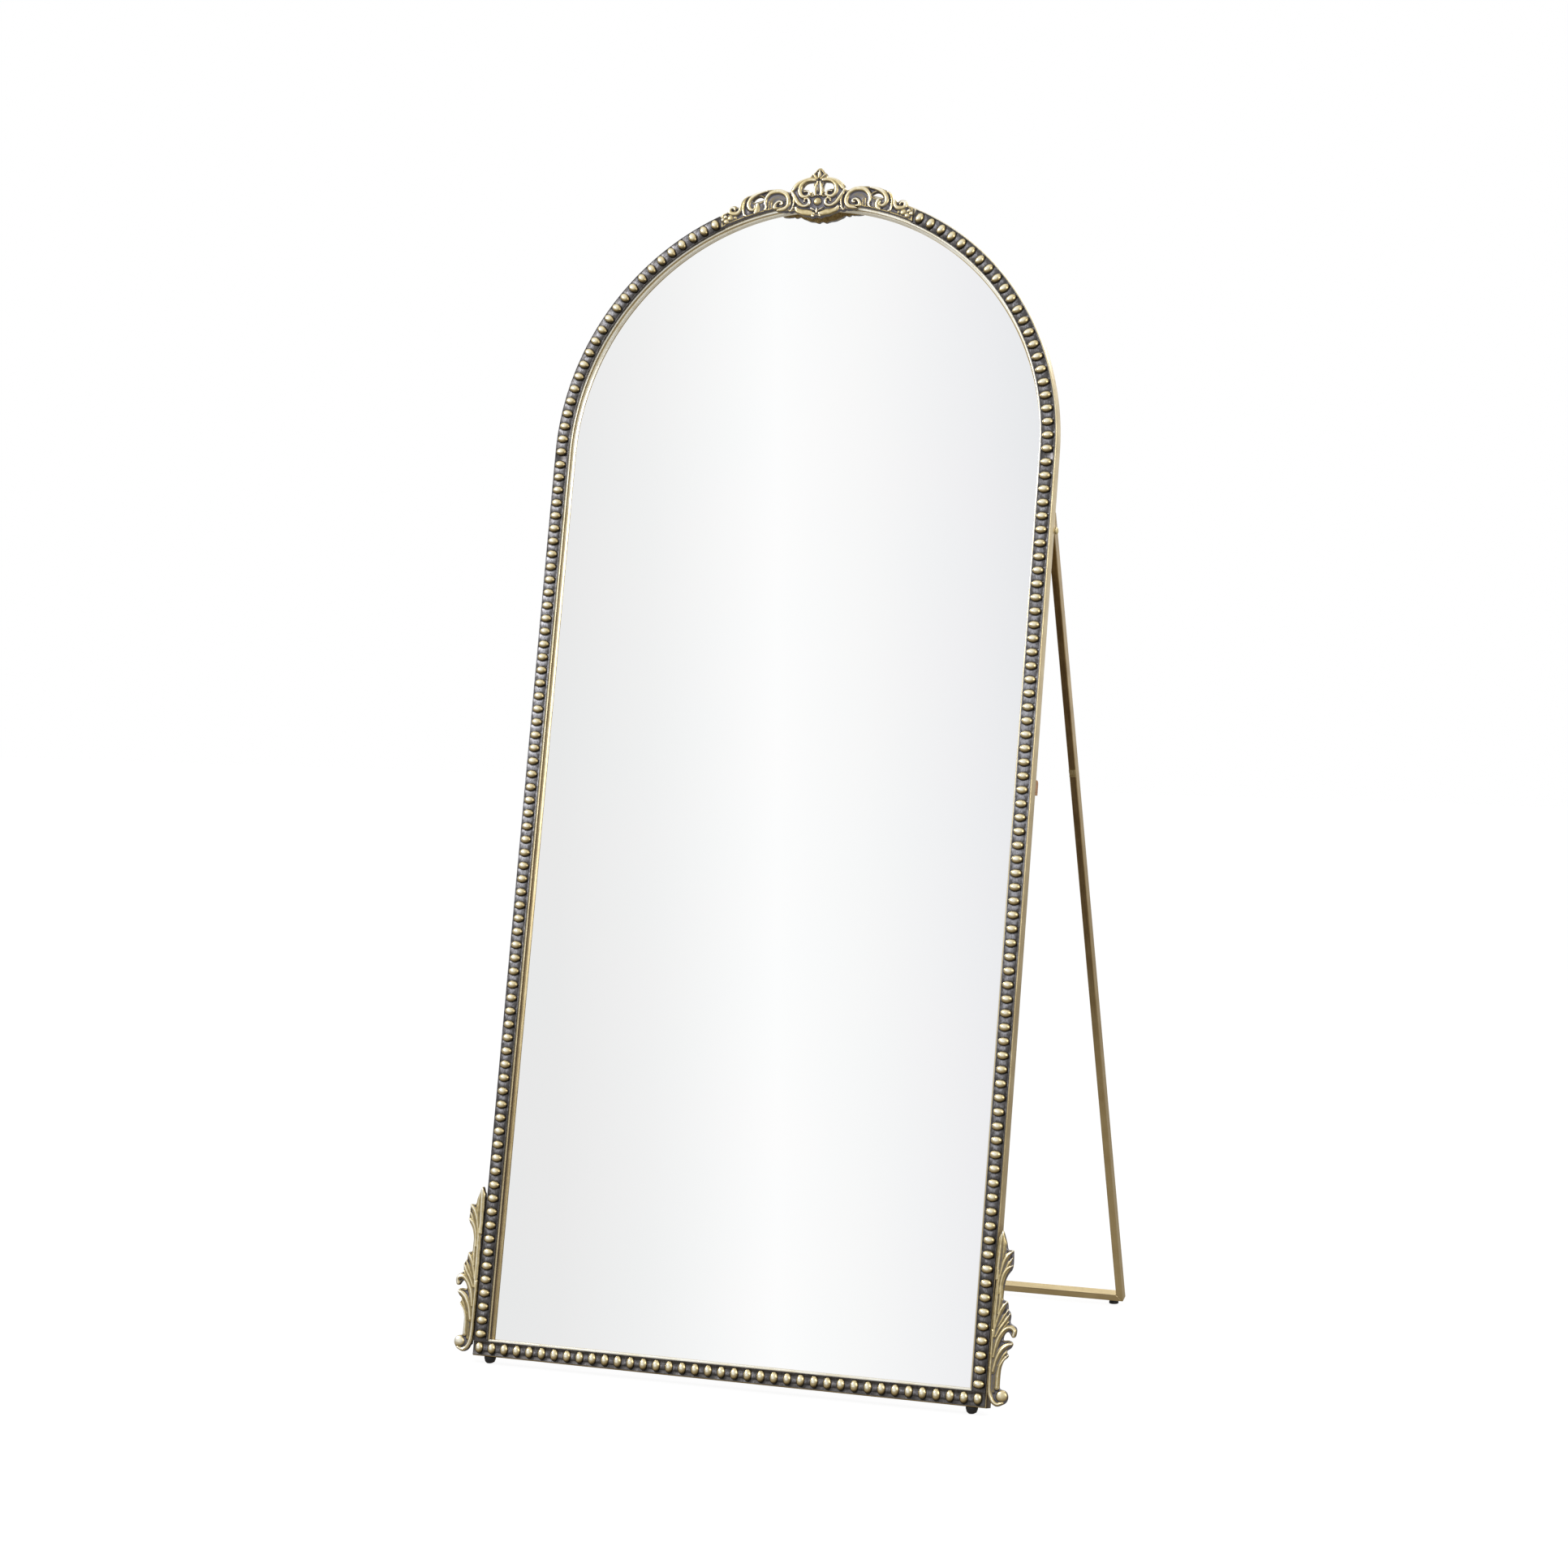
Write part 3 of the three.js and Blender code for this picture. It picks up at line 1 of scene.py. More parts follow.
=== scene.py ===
"""Looks of the leaning floor mirror: arched frame, beaded trim, crest, corner leaves and folding stand.

Lengths are in millimetres in two working frames, and turn to metres where a mesh is made:
    mirror frame: X right, Y back from the front face of the bars, Z up the mirror from its bottom edge
    stand frame:  origin on the hinge line, X right, Y back, Z up along the legs
"""

import logging
import math
from dataclasses import dataclass, field
from enum import Enum
from typing import Any, Callable, Optional, Sequence

import bpy
import numpy as np
from mathutils import Matrix, Vector


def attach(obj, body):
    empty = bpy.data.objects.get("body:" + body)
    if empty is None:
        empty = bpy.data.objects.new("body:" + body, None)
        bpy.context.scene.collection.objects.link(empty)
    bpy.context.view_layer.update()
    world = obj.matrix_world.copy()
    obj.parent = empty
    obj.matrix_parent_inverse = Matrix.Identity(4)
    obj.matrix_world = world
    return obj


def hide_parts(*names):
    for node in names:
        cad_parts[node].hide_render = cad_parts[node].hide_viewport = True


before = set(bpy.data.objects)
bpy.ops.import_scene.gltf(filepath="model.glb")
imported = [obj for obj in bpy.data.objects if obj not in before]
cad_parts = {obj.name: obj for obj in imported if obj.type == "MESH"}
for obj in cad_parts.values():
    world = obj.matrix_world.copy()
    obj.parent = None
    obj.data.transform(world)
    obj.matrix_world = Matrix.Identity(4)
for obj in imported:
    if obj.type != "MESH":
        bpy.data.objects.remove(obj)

logging.basicConfig(level=logging.INFO, format="%(levelname)s %(message)s")
LOG = logging.getLogger("floor_mirror")

METRES = 0.001
MODULE = 18.5  # from bead to bead
HALF_WIDTH = 371.5
ARCH_CENTRE = 1273.0
BEAD_RADIUS = 360.25
BEAD_INSET = 11.25
LEG_LENGTH = 1195.0
SEAT = 0.3  # gap between pieces that touch
LEAN = 12.7  # of the mirror, degrees
SIDES = {"left": -1, "right": 1}

Points = np.ndarray
Faces = list


class Body(Enum):
    """The two rigid bodies of the mirror."""

    MIRROR = "mirror"
    STAND = "stand"


class Slot(Enum):
    """Material slots of the record."""

    GOLD_FRAME = "gold_frame"
    PEWTER_STRIP = "pewter_strip"
    ANTIQUE_BRASS = "antique_brass"
    SILVERED_GLASS = "silvered_glass"
    LATCH_PLASTIC = "latch_plastic"
    BLACK_PLASTIC = "black_plastic"
    STAND_GOLD = "stand_gold"


# ------------------------------------------------------------------ frames of reference


@dataclass(frozen=True)
class Placement:
    """A working frame: turned about X by `tilt` degrees, then moved to `origin`, in mm."""

    tilt: float
    origin: tuple[float, float, float]

    def world(self, points: Points) -> Points:
        """Carries points out of the working frame.

        Args:
            points: n by 3 array, mm.

        Returns:
            n by 3 array, metres, in the frame of the CAD model.
        """
        cosine, sine = math.cos(math.radians(self.tilt)), math.sin(math.radians(self.tilt))
        x, y, z = points.T
        turned = np.stack([x, y * cosine - z * sine, y * sine + z * cosine], axis=1)
        return (turned + np.array(self.origin)) * METRES


MIRROR_FRAME = Placement(-LEAN, (0.0, -330.682, 10.4))
STAND_FRAME = Placement(18.22, (0.0, -47.0016, 1142.7371))


@dataclass(frozen=True)
class Kind:
    """What the pieces of one sort share: working frame, body and the record's material slot."""

    place: Placement
    body: Body
    slot: Slot


BARS = Kind(MIRROR_FRAME, Body.MIRROR, Slot.GOLD_FRAME)
GLASS = Kind(MIRROR_FRAME, Body.MIRROR, Slot.SILVERED_GLASS)
TRIM = Kind(MIRROR_FRAME, Body.MIRROR, Slot.PEWTER_STRIP)
CASTINGS = Kind(MIRROR_FRAME, Body.MIRROR, Slot.ANTIQUE_BRASS)
LATCHES = Kind(MIRROR_FRAME, Body.MIRROR, Slot.LATCH_PLASTIC)
FRONT_GLIDES = Kind(MIRROR_FRAME, Body.MIRROR, Slot.BLACK_PLASTIC)
REAR_GLIDES = Kind(STAND_FRAME, Body.STAND, Slot.BLACK_PLASTIC)
STAND_TUBES = Kind(STAND_FRAME, Body.STAND, Slot.STAND_GOLD)


# ------------------------------------------------------------------ meshes


def volume(points: Points, faces: Faces) -> float:
    """Signed volume: the sum over all fans of triangles of a . (b x c) / 6.

    Args:
        points: n by 3 array.
        faces: corner numbers of each face.

    Returns:
        Positive where the faces point outwards.
    """
    total = 0.0
    for size in {len(face) for face in faces}:
        corners = points[np.array([face for face in faces if len(face) == size])]
        first = corners[:, 0]
        for step in range(1, size - 1):
            total += float(np.einsum("ij,ij->", first, np.cross(corners[:, step], corners[:, step + 1]))) / 6
    return total


@dataclass
class Solid:
    """Closed surface in a working frame.

    Attributes:
        points: n by 3 array, mm.
        faces: corner numbers of each face.
        finish: number of its finish, or one per face.
        wear_and_shade: 0 stained and in painted shade, to 1 rubbed bright and in painted highlight, or one
            per point.
    """

    points: Points
    faces: Faces
    finish: int | np.ndarray = 0
    wear_and_shade: float | np.ndarray = 0.6

    def outward(self) -> "Solid":
        """Turns all faces round where they point inwards."""
        if volume(self.points, self.faces) < 0:
            self.faces = [list(face)[::-1] for face in self.faces]
        return self


def make_piece(
    name: str,
    solids: Sequence[Solid],
    kind: Kind,
    materials: Sequence[bpy.types.Material],
    replaced: str,
    crease: float = 35.0,
    bevel: float = 0.0,
) -> None:
    """Makes one named object of closed surfaces, at the origin, riding on its body.

    Args:
        name: name of the object.
        solids: its closed surfaces.
        kind: its working frame and body.
        materials: its finishes, in the order of the solids' finish numbers.
        replaced: the CAD node that it stands for.
        crease: edges sharper than this many degrees stay crisp.
        bevel: width of a live bevel on crisp edges, in mm.
    """
    offset = 0
    faces: Faces = []
    for solid in solids:
        solid.outward()
        faces.extend([[corner + offset for corner in face] for face in solid.faces])
        offset += len(solid.points)
    points = np.concatenate([solid.points for solid in solids])
    finish = np.concatenate([np.broadcast_to(solid.finish, len(solid.faces)) for solid in solids])
    wear_and_shade = np.concatenate([np.broadcast_to(solid.wear_and_shade, len(solid.points)) for solid in solids])
    mesh = bpy.data.meshes.new(name)
    mesh.from_pydata(kind.place.world(points).tolist(), [], faces)
    mesh.polygons.foreach_set("use_smooth", np.ones(len(faces), dtype=bool))
    mesh.polygons.foreach_set("material_index", finish.astype(np.int32))
    # this attribute carries real wear together with painted shade and painted highlight
    mesh.attributes.new("wear_and_shade", "FLOAT", "POINT").data.foreach_set("value", wear_and_shade.astype(np.float32))
    mesh.set_sharp_from_angle(angle=math.radians(crease))
    mesh.update()
    piece = bpy.data.objects.new(name, mesh)
    bpy.context.scene.collection.objects.link(piece)
    for material in materials:
        mesh.materials.append(material)
    if bevel:
        modifier = piece.modifiers.new("edges", "BEVEL")
        modifier.width = bevel * METRES
        modifier.segments = 2
        modifier.limit_method = "ANGLE"
        modifier.angle_limit = math.radians(crease)
    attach(piece, kind.body.value)
    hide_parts(replaced)
    LOG.info("%s: %d faces", name, len(faces))


def dress(node: str, material: bpy.types.Material) -> None:
    """Gives a CAD node a better finish, in place of its plain one."""
    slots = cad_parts[node].data.materials
    slots.clear()
    slots.append(material)


# ------------------------------------------------------------------ shapes in numpy


def sweep(rings: Points, closed_path: bool = False) -> tuple[Points, Faces]:
    """Skin over a profile carried along a path.

    Ring i, corner j joins to ring i + 1 and corner j + 1, both counted round; an open path gets a flat
    face over each end.

    Args:
        rings: array of shape (steps, corners, 3).
        closed_path: whether the last ring joins the first.

    Returns:
        Points and faces.
    """
    steps, corners, _ = rings.shape
    ring = np.arange(steps if closed_path else steps - 1)[:, None]
    corner = np.arange(corners)[None, :]
    following = (corner + 1) % corners
    ahead = (ring + 1) % steps
    quads = np.stack([
        ring * corners + corner + 0 * ahead, ring * corners + following,
        ahead * corners + following, ahead * corners + corner,
    ], axis=-1).reshape(-1, 4).tolist()
    if not closed_path:
        quads.append(list(range(corners))[::-1])
        quads.append(list(range((steps - 1) * corners, steps * corners)))
    return rings.reshape(-1, 3), quads


def fillet(corners: Sequence[tuple[float, float, float]], steps: int = 3) -> Points:
    """Closed outline with each corner rounded by a curve through three control points.

    A corner c with room r becomes (1-t)^2 a + 2t(1-t) c + t^2 b, with a and b at distance r along its sides.

    Args:
        corners: x, y and rounding of each corner.
        steps: segments per rounded corner.

    Returns:
        n by 2 array.
    """
    outline: list[Points] = []
    share = np.linspace(0, 1, steps + 1)[:, None]
    for i, (x, y, room) in enumerate(corners):
        here = np.array([x, y])
        if room == 0:
            outline.append(here[None, :])
            continue
        before = np.array(corners[i - 1][:2]) - here
        after = np.array(corners[(i + 1) % len(corners)][:2]) - here
        start = here + before / np.linalg.norm(before) * room
        end = here + after / np.linalg.norm(after) * room
        outline.append((1 - share) ** 2 * start + 2 * share * (1 - share) * here + share**2 * end)
    return np.concatenate(outline)


def prism(outline: Points, x0: float, x1: float) -> tuple[Points, Faces]:
    """Outline in Y and Z, carried straight from x0 to x1.

    Args:
        outline: n by 2 array of y and z.
        x0: first end.
        x1: second end.

    Returns:
        Points and faces.
    """
    rings = np.stack([np.column_stack([np.full(len(outline), x), outline]) for x in (x0, x1)])
    return sweep(rings)


def lathe(profile: Sequence[tuple], centre: Sequence[float], sides: int) -> tuple[Points, Faces]:
    """Upright surface of revolution: (r cos a, r sin a, h) for a full turn of a, with a pole at each end.

    Args:
        profile: radius and height pairs; the first and last have no radius.
        centre: where height 0 of the axis stands.
        sides: number of steps round.

    Returns:
        Points and faces.
    """
    radius, height = np.array(profile[1:-1]).T
    angle = 2 * np.pi * np.arange(sides) / sides
    across = radius[:, None] * np.cos(angle)
    up = radius[:, None] * np.sin(angle)
    points, faces = sweep(np.stack([across, up, np.broadcast_to(height[:, None], across.shape)], axis=-1))
    faces = faces[:-2]
    poles = [[0, 0, profile[0][1]], [0, 0, profile[-1][1]]]
    last = len(points)
    points = np.concatenate([points, poles])
    for i in range(sides):
        j = (i + 1) % sides
        faces.append([last, j, i])
        faces.append([last + 1, last - sides + i, last - sides + j])
    return points + np.array(centre), faces


def smooth_line(points: Sequence[Sequence[float]], steps: int, closed: bool = False) -> Points:
    """Catmull-Rom curve: each span is the cubic through its two points with slopes (next - previous) / 2.

    Args:
        points: points of any number of values each.
        steps: straight pieces per span.
        closed: whether the last point joins the first.

    Returns:
        The curve's points.
    """
    given = np.asarray(points, dtype=float)
    if closed:
        padded = np.concatenate([given[-1:], given, given[:2]])
    else:
        padded = np.concatenate([2 * given[:1] - given[1:2], given, 2 * given[-1:] - given[-2:-1]])
    a, b, c, d = padded[:-3], padded[1:-2], padded[2:-1], padded[3:]
    t = (np.arange(steps) / steps)[None, :, None]
    a, b, c, d = (part[:, None, :] for part in (a, b, c, d))
    curve = 0.5 * (2 * b + (c - a) * t + (2 * a - 5 * b + 4 * c - d) * t**2 + (3 * b - a - 3 * c + d) * t**3)
    curve = curve.reshape(-1, given.shape[1])
    return curve if closed else np.concatenate([curve, given[-1:]])


def blurred(values: np.ndarray, spread: float) -> np.ndarray:
    """Gaussian blur of a grid, done as a product of spectra.

    Args:
        values: two-dimensional grid.
        spread: standard deviation, in cells.

    Returns:
        The blurred grid.
    """
    margin = int(4 * spread) + 1
    padded = np.pad(values, margin, mode="edge")
    rows = np.fft.fftfreq(padded.shape[0])[:, None]
    columns = np.fft.rfftfreq(padded.shape[1])[None, :]
    weight = np.exp(-2 * (np.pi * spread) ** 2 * (rows**2 + columns**2))
    result = np.fft.irfft2(np.fft.rfft2(padded) * weight, padded.shape)
    return result[margin:-margin, margin:-margin]


def along_pieces(spots: Points, start: Points, span: Points) -> tuple[np.ndarray, np.ndarray]:
    """Nearest place on each of some straight pieces.

    Args:
        spots: n by 2 array.
        start: m by 2 array of the pieces' starts.
        span: m by 2 array of their directions and lengths.

    Returns:
        n by m shares along the pieces, and distances.
    """
    offset = spots[:, None, :] - start[None, :, :]
    share = np.einsum("nmk,mk->nm", offset, span) / np.maximum(np.einsum("mk,mk->m", span, span), 1e-9)
    share = np.clip(share, 0, 1)
    return share, np.linalg.norm(offset - share[..., None] * span[None, :, :], axis=-1)


def nearest_share(spots: Points, line: Points, widths: np.ndarray) -> np.ndarray:
    """Distance to a line as a share of its half width there, the smallest over its straight pieces.

    Args:
        spots: n by 2 array.
        line: m by 2 array of the line's points.
        widths: full width at each of them.

    Returns:
        n values: 0 on the line, 1 on the band's edge.
    """
    share, away = along_pieces(spots, line[:-1], np.diff(line, axis=0))
    half = (widths[:-1] + share * np.diff(widths)) / 2
    return np.min(away / np.maximum(half, 1e-3), axis=1)


def inside_distance(spots: Points, outline: Points) -> np.ndarray:
    """Distance to a closed outline, positive inside it (even number of crossings outside).

    Args:
        spots: n by 2 array.
        outline: m by 2 array of corners.

    Returns:
        n signed distances.
    """
    batch = 8000
    result = np.empty(len(spots))
    start = outline
    end = np.roll(outline, -1, axis=0)
    span = end - start
    for first in range(0, len(spots), batch):
        part = spots[first : first + batch]
        away = along_pieces(part, start, span)[1].min(axis=1)
        above = part[:, None, 1] >= start[None, :, 1]
        crossing = above != (part[:, None, 1] >= end[None, :, 1])
        rise = np.where(span[:, 1] == 0, 1e-9, span[:, 1])
        meet = start[:, 0] + (part[:, None, 1] - start[:, 1]) / rise * span[:, 0]
        odd = (crossing & (part[:, None, 0] < meet)).sum(axis=1) % 2 == 1
        result[first : first + batch] = np.where(odd, away, -away)
    return result


# ------------------------------------------------------------------ cast relief


@dataclass(frozen=True)
class Band:
    """A scroll or leaf rib: its line and its widths at even steps, in modules, and its height."""

    line: tuple
    widths: tuple
    height: float = 1.0


@dataclass(frozen=True)
class Dome:
    """A low round boss: centre and radius in modules, and its height against a full ridge."""

    x: float
    z: float
    radius: float
    height: float = 1.0


@dataclass
class Relief:
    """A casting with a flat back: a plate with ridged bands and domes standing out of its front.

    Attributes:
        back: depth of the back, mm.
        plate: depth of the plate's front, mm.
        rise: how far a full ridge stands out of the plate, mm.
        rim_width: width of the rounded rim along every edge, in modules.
        rim_share: height of that rim against a full ridge.
        swell: by how much every band is wider than drawn.
        groove: depth of the two grooves along a band, against its height.
        cell: grid step, mm.
        edge: width of the strip along the silhouette where the front drops back, and how far, mm.
        hollow: how far round a point its hollows are felt, mm.
        stain_and_shade: wear of the plate, and what it gains per full ridge and per mm out of a hollow, and,
            as painted shade and highlight, per slope up and per slope away from the light.
        back_wear: wear of the back.
        reach_cells: how many cells a point moves to the silhouette at most.
        least_steep: least squared slope of the distance that is trusted there.
        soft: blur of the relief, in cells.
    """

    back: float
    plate: float
    rise: float
    rim_width: float = 0.18
    rim_share: float = 0.5
    swell: float = 1.0
    groove: float = 0.0
    cell: float = 0.5
    edge: tuple = (0.9, 0.7)
    hollow: float = 2.4
    stain_and_shade: tuple = (0.07, 0.46, 0.4, -0.16, 0.12)
    back_wear: float = 0.42
    reach_cells: float = 1.2
    least_steep: float = 0.25
    soft: float = 0.8

    def height(self, spots: Points, bands: Sequence[Band], domes: Sequence[Dome]) -> np.ndarray:
        """Height over the plate: the highest of rise (1 - t^2)^0.6 on bands and rise sqrt(1 - t^2) on domes.

        A band is lowered by groove * exp(-((t - 0.4) / 0.14)^2), which leaves three ribs along it.

        Args:
            spots: n by 2 array in modules.
            bands: ridged bands.
            domes: round bosses.

        Returns:
            n heights in mm.
        """
        top = np.zeros(len(spots))
        for band in bands:
            line = smooth_line(band.line, 6)
            widths = np.interp(np.linspace(0, 1, len(line)), np.linspace(0, 1, len(band.widths)), band.widths)
            share = np.clip(nearest_share(spots, line, widths * self.swell), 0, 1)
            ribbed = 1 - self.groove * np.exp(-(((share - 0.4) / 0.14) ** 2))
            top = np.maximum(top, self.rise * band.height * ribbed * (1 - share**2) ** 0.6)
        for dome in domes:
            share = np.hypot(spots[:, 0] - dome.x, spots[:, 1] - dome.z) / dome.radius
            top = np.maximum(top, self.rise * dome.height * np.sqrt(np.clip(1 - share**2, 0, 1)))
        return top

    def solid(
        self,
        x_range: tuple[float, float],
        z_range: tuple[float, float],
        reach: Callable[[Points], np.ndarray],
        height: Callable[[Points], np.ndarray],
        place: Callable[[Points], Points],
        light: float = 0.0,
        lift: float = 0.0,
    ) -> Solid:
        """Grid over the casting: cells within the silhouette stay, and their outer points move onto it.

        A point at distance d from the silhouette moves by -d times the slope of d. Front depth is
        plate - height, eased back near the silhouette; the back is flat; walls join the two.

        Args:
            x_range: extent in modules.
            z_range: extent in modules.
            reach: signed distance to the silhouette, in modules, positive within.
            height: height over the plate, in mm.
            place: turns x and z in modules to x and z in mm.
            light: painted highlight and shade, 1 where flanks facing away from x are painted brighter, -1
                where those facing along it are.
            lift: added to the wear everywhere; on the leaves it is painted light, one leaf lighter than the
                other.

        Returns:
            The closed surface, with its wear: low in hollows, high on ridges; painted shade makes it a little
                lower on
            the sides of ridges that face down, and painted highlight and shade move it on flanks that face
            across.
        """
        x, z = (np.linspace(*span, int(round((span[1] - span[0]) * MODULE / self.cell)) + 1)
                for span in (x_range, z_range))
        grid = np.stack(np.meshgrid(x, z), axis=-1)
        distance = reach(grid.reshape(-1, 2)).reshape(grid.shape[:2])
        kept = distance[:-1, :-1] + distance[1:, :-1] + distance[:-1, 1:] + distance[1:, 1:] > 0
        high, wide = distance.shape
        shifts = ((0, 0), (1, 0), (0, 1), (1, 1))
        used = np.any([np.pad(kept, ((a, 1 - a), (b, 1 - b))) for a, b in shifts], axis=0)
        surround = np.pad(kept, 1, mode="edge")
        outer = used & ~np.all([surround[a : a + high, b : b + wide] for a, b in shifts], axis=0)
        step_x, step_z = x[1] - x[0], z[1] - z[0]
        slope_z, slope_x = np.gradient(distance, step_z, step_x)
        steep = np.maximum(slope_x**2 + slope_z**2, self.least_steep)
        most = self.reach_cells * step_x
        step = np.clip(distance / steep, -most, most)
        shift = np.stack([step * slope_x, step * slope_z], axis=-1)
        shift[:, [0, -1], 0] = 0
        moved = np.where(outer[..., None], grid - shift, grid)
        inner = np.where(outer, 0, distance)
        rim = np.clip(1 - (2 * inner / self.rim_width - 1) ** 2, 0, 1)
        rise = height(moved.reshape(-1, 2)).reshape(distance.shape)
        rise = blurred(np.maximum(rise, self.rise * self.rim_share * np.sqrt(rim)), self.soft)
        strip, drop = self.edge
        front = self.plate - rise + drop * (1 - np.clip(inner * MODULE, 0, strip) / strip) ** 2
        slope_up, slope_out = np.gradient(rise, self.cell)
        # patina and wear from ridges and hollows, plus painted shade on down-facing sides and painted
        # highlight by light
        plain, ridge, out_of_hollow, upward, lit = self.stain_and_shade
        wear_and_shade = plain + lift + ridge * rise / self.rise + upward * slope_up + lit * light * slope_out
        wear_and_shade += out_of_hollow * (rise - blurred(rise, self.hollow / self.cell))
        total = int(used.sum())
        number = np.full(distance.shape, -1)
        number[used] = np.arange(total)
        across, up = place(moved[used]).T
        depths = (front[used], np.full(total, self.back))
        points = np.concatenate([np.column_stack([across, depth, up]) for depth in depths])
        row, column = np.nonzero(kept)
        quads = np.column_stack([number[row + a, column + b] for a, b in ((0, 0), (0, 1), (1, 1), (1, 0))])
        edges = np.concatenate([quads[:, [0, 1]], quads[:, [1, 2]], quads[:, [2, 3]], quads[:, [3, 0]]])
        key = edges[:, 0] * (2 * total) + edges[:, 1]
        reverse = edges[:, 1] * (2 * total) + edges[:, 0]
        border = edges[~np.isin(key, reverse)]
        walls = np.column_stack([border[:, 1], border[:, 0], border[:, 0] + total, border[:, 1] + total])
        faces = np.concatenate([quads, quads[:, ::-1] + total, walls]).tolist()
        finish = np.repeat([0, 1, 0], [len(quads), len(quads), len(walls)])
        worn = np.concatenate([np.clip(wear_and_shade[used], 0, 1), np.full(total, self.back_wear)])
        return Solid(points, faces, finish, worn).outward()


# ------------------------------------------------------------------ shader helpers


def linear(code: str) -> tuple[float, float, float, float]:
    """sRGB hex colour as linear light: c / 12.92 up to 0.04045, else ((c + 0.055) / 1.055) ^ 2.4."""
    shares = [int(code[i : i + 2], 16) / 255 for i in (1, 3, 5)]
    bent = [c / 12.92 if c <= 0.04045 else ((c + 0.055) / 1.055) ** 2.4 for c in shares]
    return (*bent, 1.0)


Tree = bpy.types.NodeTree
Socket = bpy.types.NodeSocket
USUAL = (0.3, 0.7)  # the range that noise mostly keeps to


def add(tree: Tree, kind: str, inputs: Optional[dict] = None, **settings: Any) -> bpy.types.Node:
    """Adds a node.

    Args:
        tree: where it goes.
        kind: the node's type, without "ShaderNode".
        inputs: values or output sockets, by input name or number.
        settings: the node's own properties.

    Returns:
        The node.
    """
    node = tree.nodes.new("ShaderNode" + kind)
    for key, value in settings.items():
        setattr(node, key, value)
    for key, value in (inputs or {}).items():
        if isinstance(value, Socket):
            tree.links.new(value, node.inputs[key])
        else:
            node.inputs[key].default_value = value
    return node


def ramp(tree: Tree, value: Socket, stops: Sequence[tuple[float, str]]) -> Socket:
    """Colour ramp over a value, with stops given as place and sRGB colour.

    Args:
        tree: where it goes.
        value: what drives it.
        stops: places and colours, in order.

    Returns:
        Its colour output.
    """
    node = add(tree, "ValToRGB", {0: value})
    elements = node.color_ramp.elements
    while len(elements) < len(stops):
        elements.new(0.5)
    for element, (place, code) in zip(elements, stops):
        element.position = place
        element.color = linear(code)
    return node.outputs[0]


def new_material(name: str) -> tuple[bpy.types.Material, Tree, bpy.types.Node]:
    """Material with an empty tree but for its Principled shader and output.

    Args:
        name: name of the material.

    Returns:
        Material, its tree and its shader.
    """
    material = bpy.data.materials.new(name)
    material.use_nodes = True
    tree = material.node_tree
    tree.nodes.clear()
    shader = add(tree, "BsdfPrincipled")
    add(tree, "OutputMaterial", {0: shader.outputs[0]})
    return material, tree, shader


def surface_pattern(tree: Tree, size: float | tuple, tilt: float = 0.0, detail: float = 3.0) -> Socket:
    """Noise in Object coordinates, turned about X, with its grain given in mm.

    Args:
        tree: where it goes.
        size: grain, or grain along X, Y and Z, mm.
        tilt: degrees that the working frame is turned about X.
        detail: octaves.

    Returns:
        The noise value, 0 to 1.
    """
    place = add(tree, "TexCoord").outputs["Object"]
    turn = math.radians(-tilt)
    turned = add(tree, "VectorRotate", {"Vector": place, "Angle": turn}, rotation_type="X_AXIS")
    scale = [1 / (part * METRES) for part in np.broadcast_to(size, 3).tolist()]
    stretched = add(tree, "Mapping", {"Vector": turned.outputs[0], "Scale": scale}).outputs[0]
    return add(tree, "TexNoise", {0: stretched, "Scale": 1.0, "Detail": detail, "Roughness": 0.55}).outputs[0]


def mapped(tree: Tree, value: Socket, low: float, high: float, out_low: float, out_high: float) -> Socket:
    """Value carried from one range to another, held at its ends.

    Args:
        tree: where it goes.
        value: the value.
        low: start of its range.
        high: end of its range.
        out_low: result at the start.
        out_high: result at the end.

    Returns:
        The result.
    """
    return add(tree, "MapRange", {0: value, 1: low, 2: high, 3: out_low, 4: out_high}).outputs[0]


def total(tree: Tree, *values: Socket, clamp: bool = False) -> Socket:
    """Sum of the values; where asked, the last sum is held between 0 and 1."""
    result = values[0]
    for count, value in enumerate(values[1:], 2):
        held = clamp and count == len(values)
        result = add(tree, "Math", {0: result, 1: value}, operation="ADD", use_clamp=held).outputs[0]
    return result


def blended(tree: Tree, share: Socket, first: Any, second: Any) -> Socket:
    """Colour that goes from the first to the second as the share goes from 0 to 1."""
    return add(tree, "Mix", {0: share, 6: first, 7: second}, data_type="RGBA").outputs[2]


def wear_and_shade_level(tree: Tree) -> Socket:
    """The mesh's value of wear and of painted shade and highlight."""
    return add(tree, "Attribute", attribute_name="wear_and_shade").outputs["Fac"]


def facing_up(tree: Tree) -> Socket:
    """How far the surface faces up when the mirror stands open, -1 to 1: the z part of its own normal."""
    return add(tree, "SeparateXYZ", {0: add(tree, "TexCoord").outputs["Normal"]}).outputs[2]


def bumped(tree: Tree, height: Socket, depth: float, strength: float) -> Socket:
    """Bump from a height value; depth in mm."""
    return add(tree, "Bump", {"Height": height, "Distance": depth * METRES, "Strength": strength}).outputs[0]


def coat(tree: Tree, shader: bpy.types.Node, colour: Socket, rough: Socket, metallic: float = 1.0) -> None:
    """Joins colour and roughness to a shader, and sets its share of metal."""
    tree.links.new(colour, shader.inputs["Base Color"])
    tree.links.new(rough, shader.inputs["Roughness"])
    shader.inputs["Metallic"].default_value = metallic


# ------------------------------------------------------------------ finishes


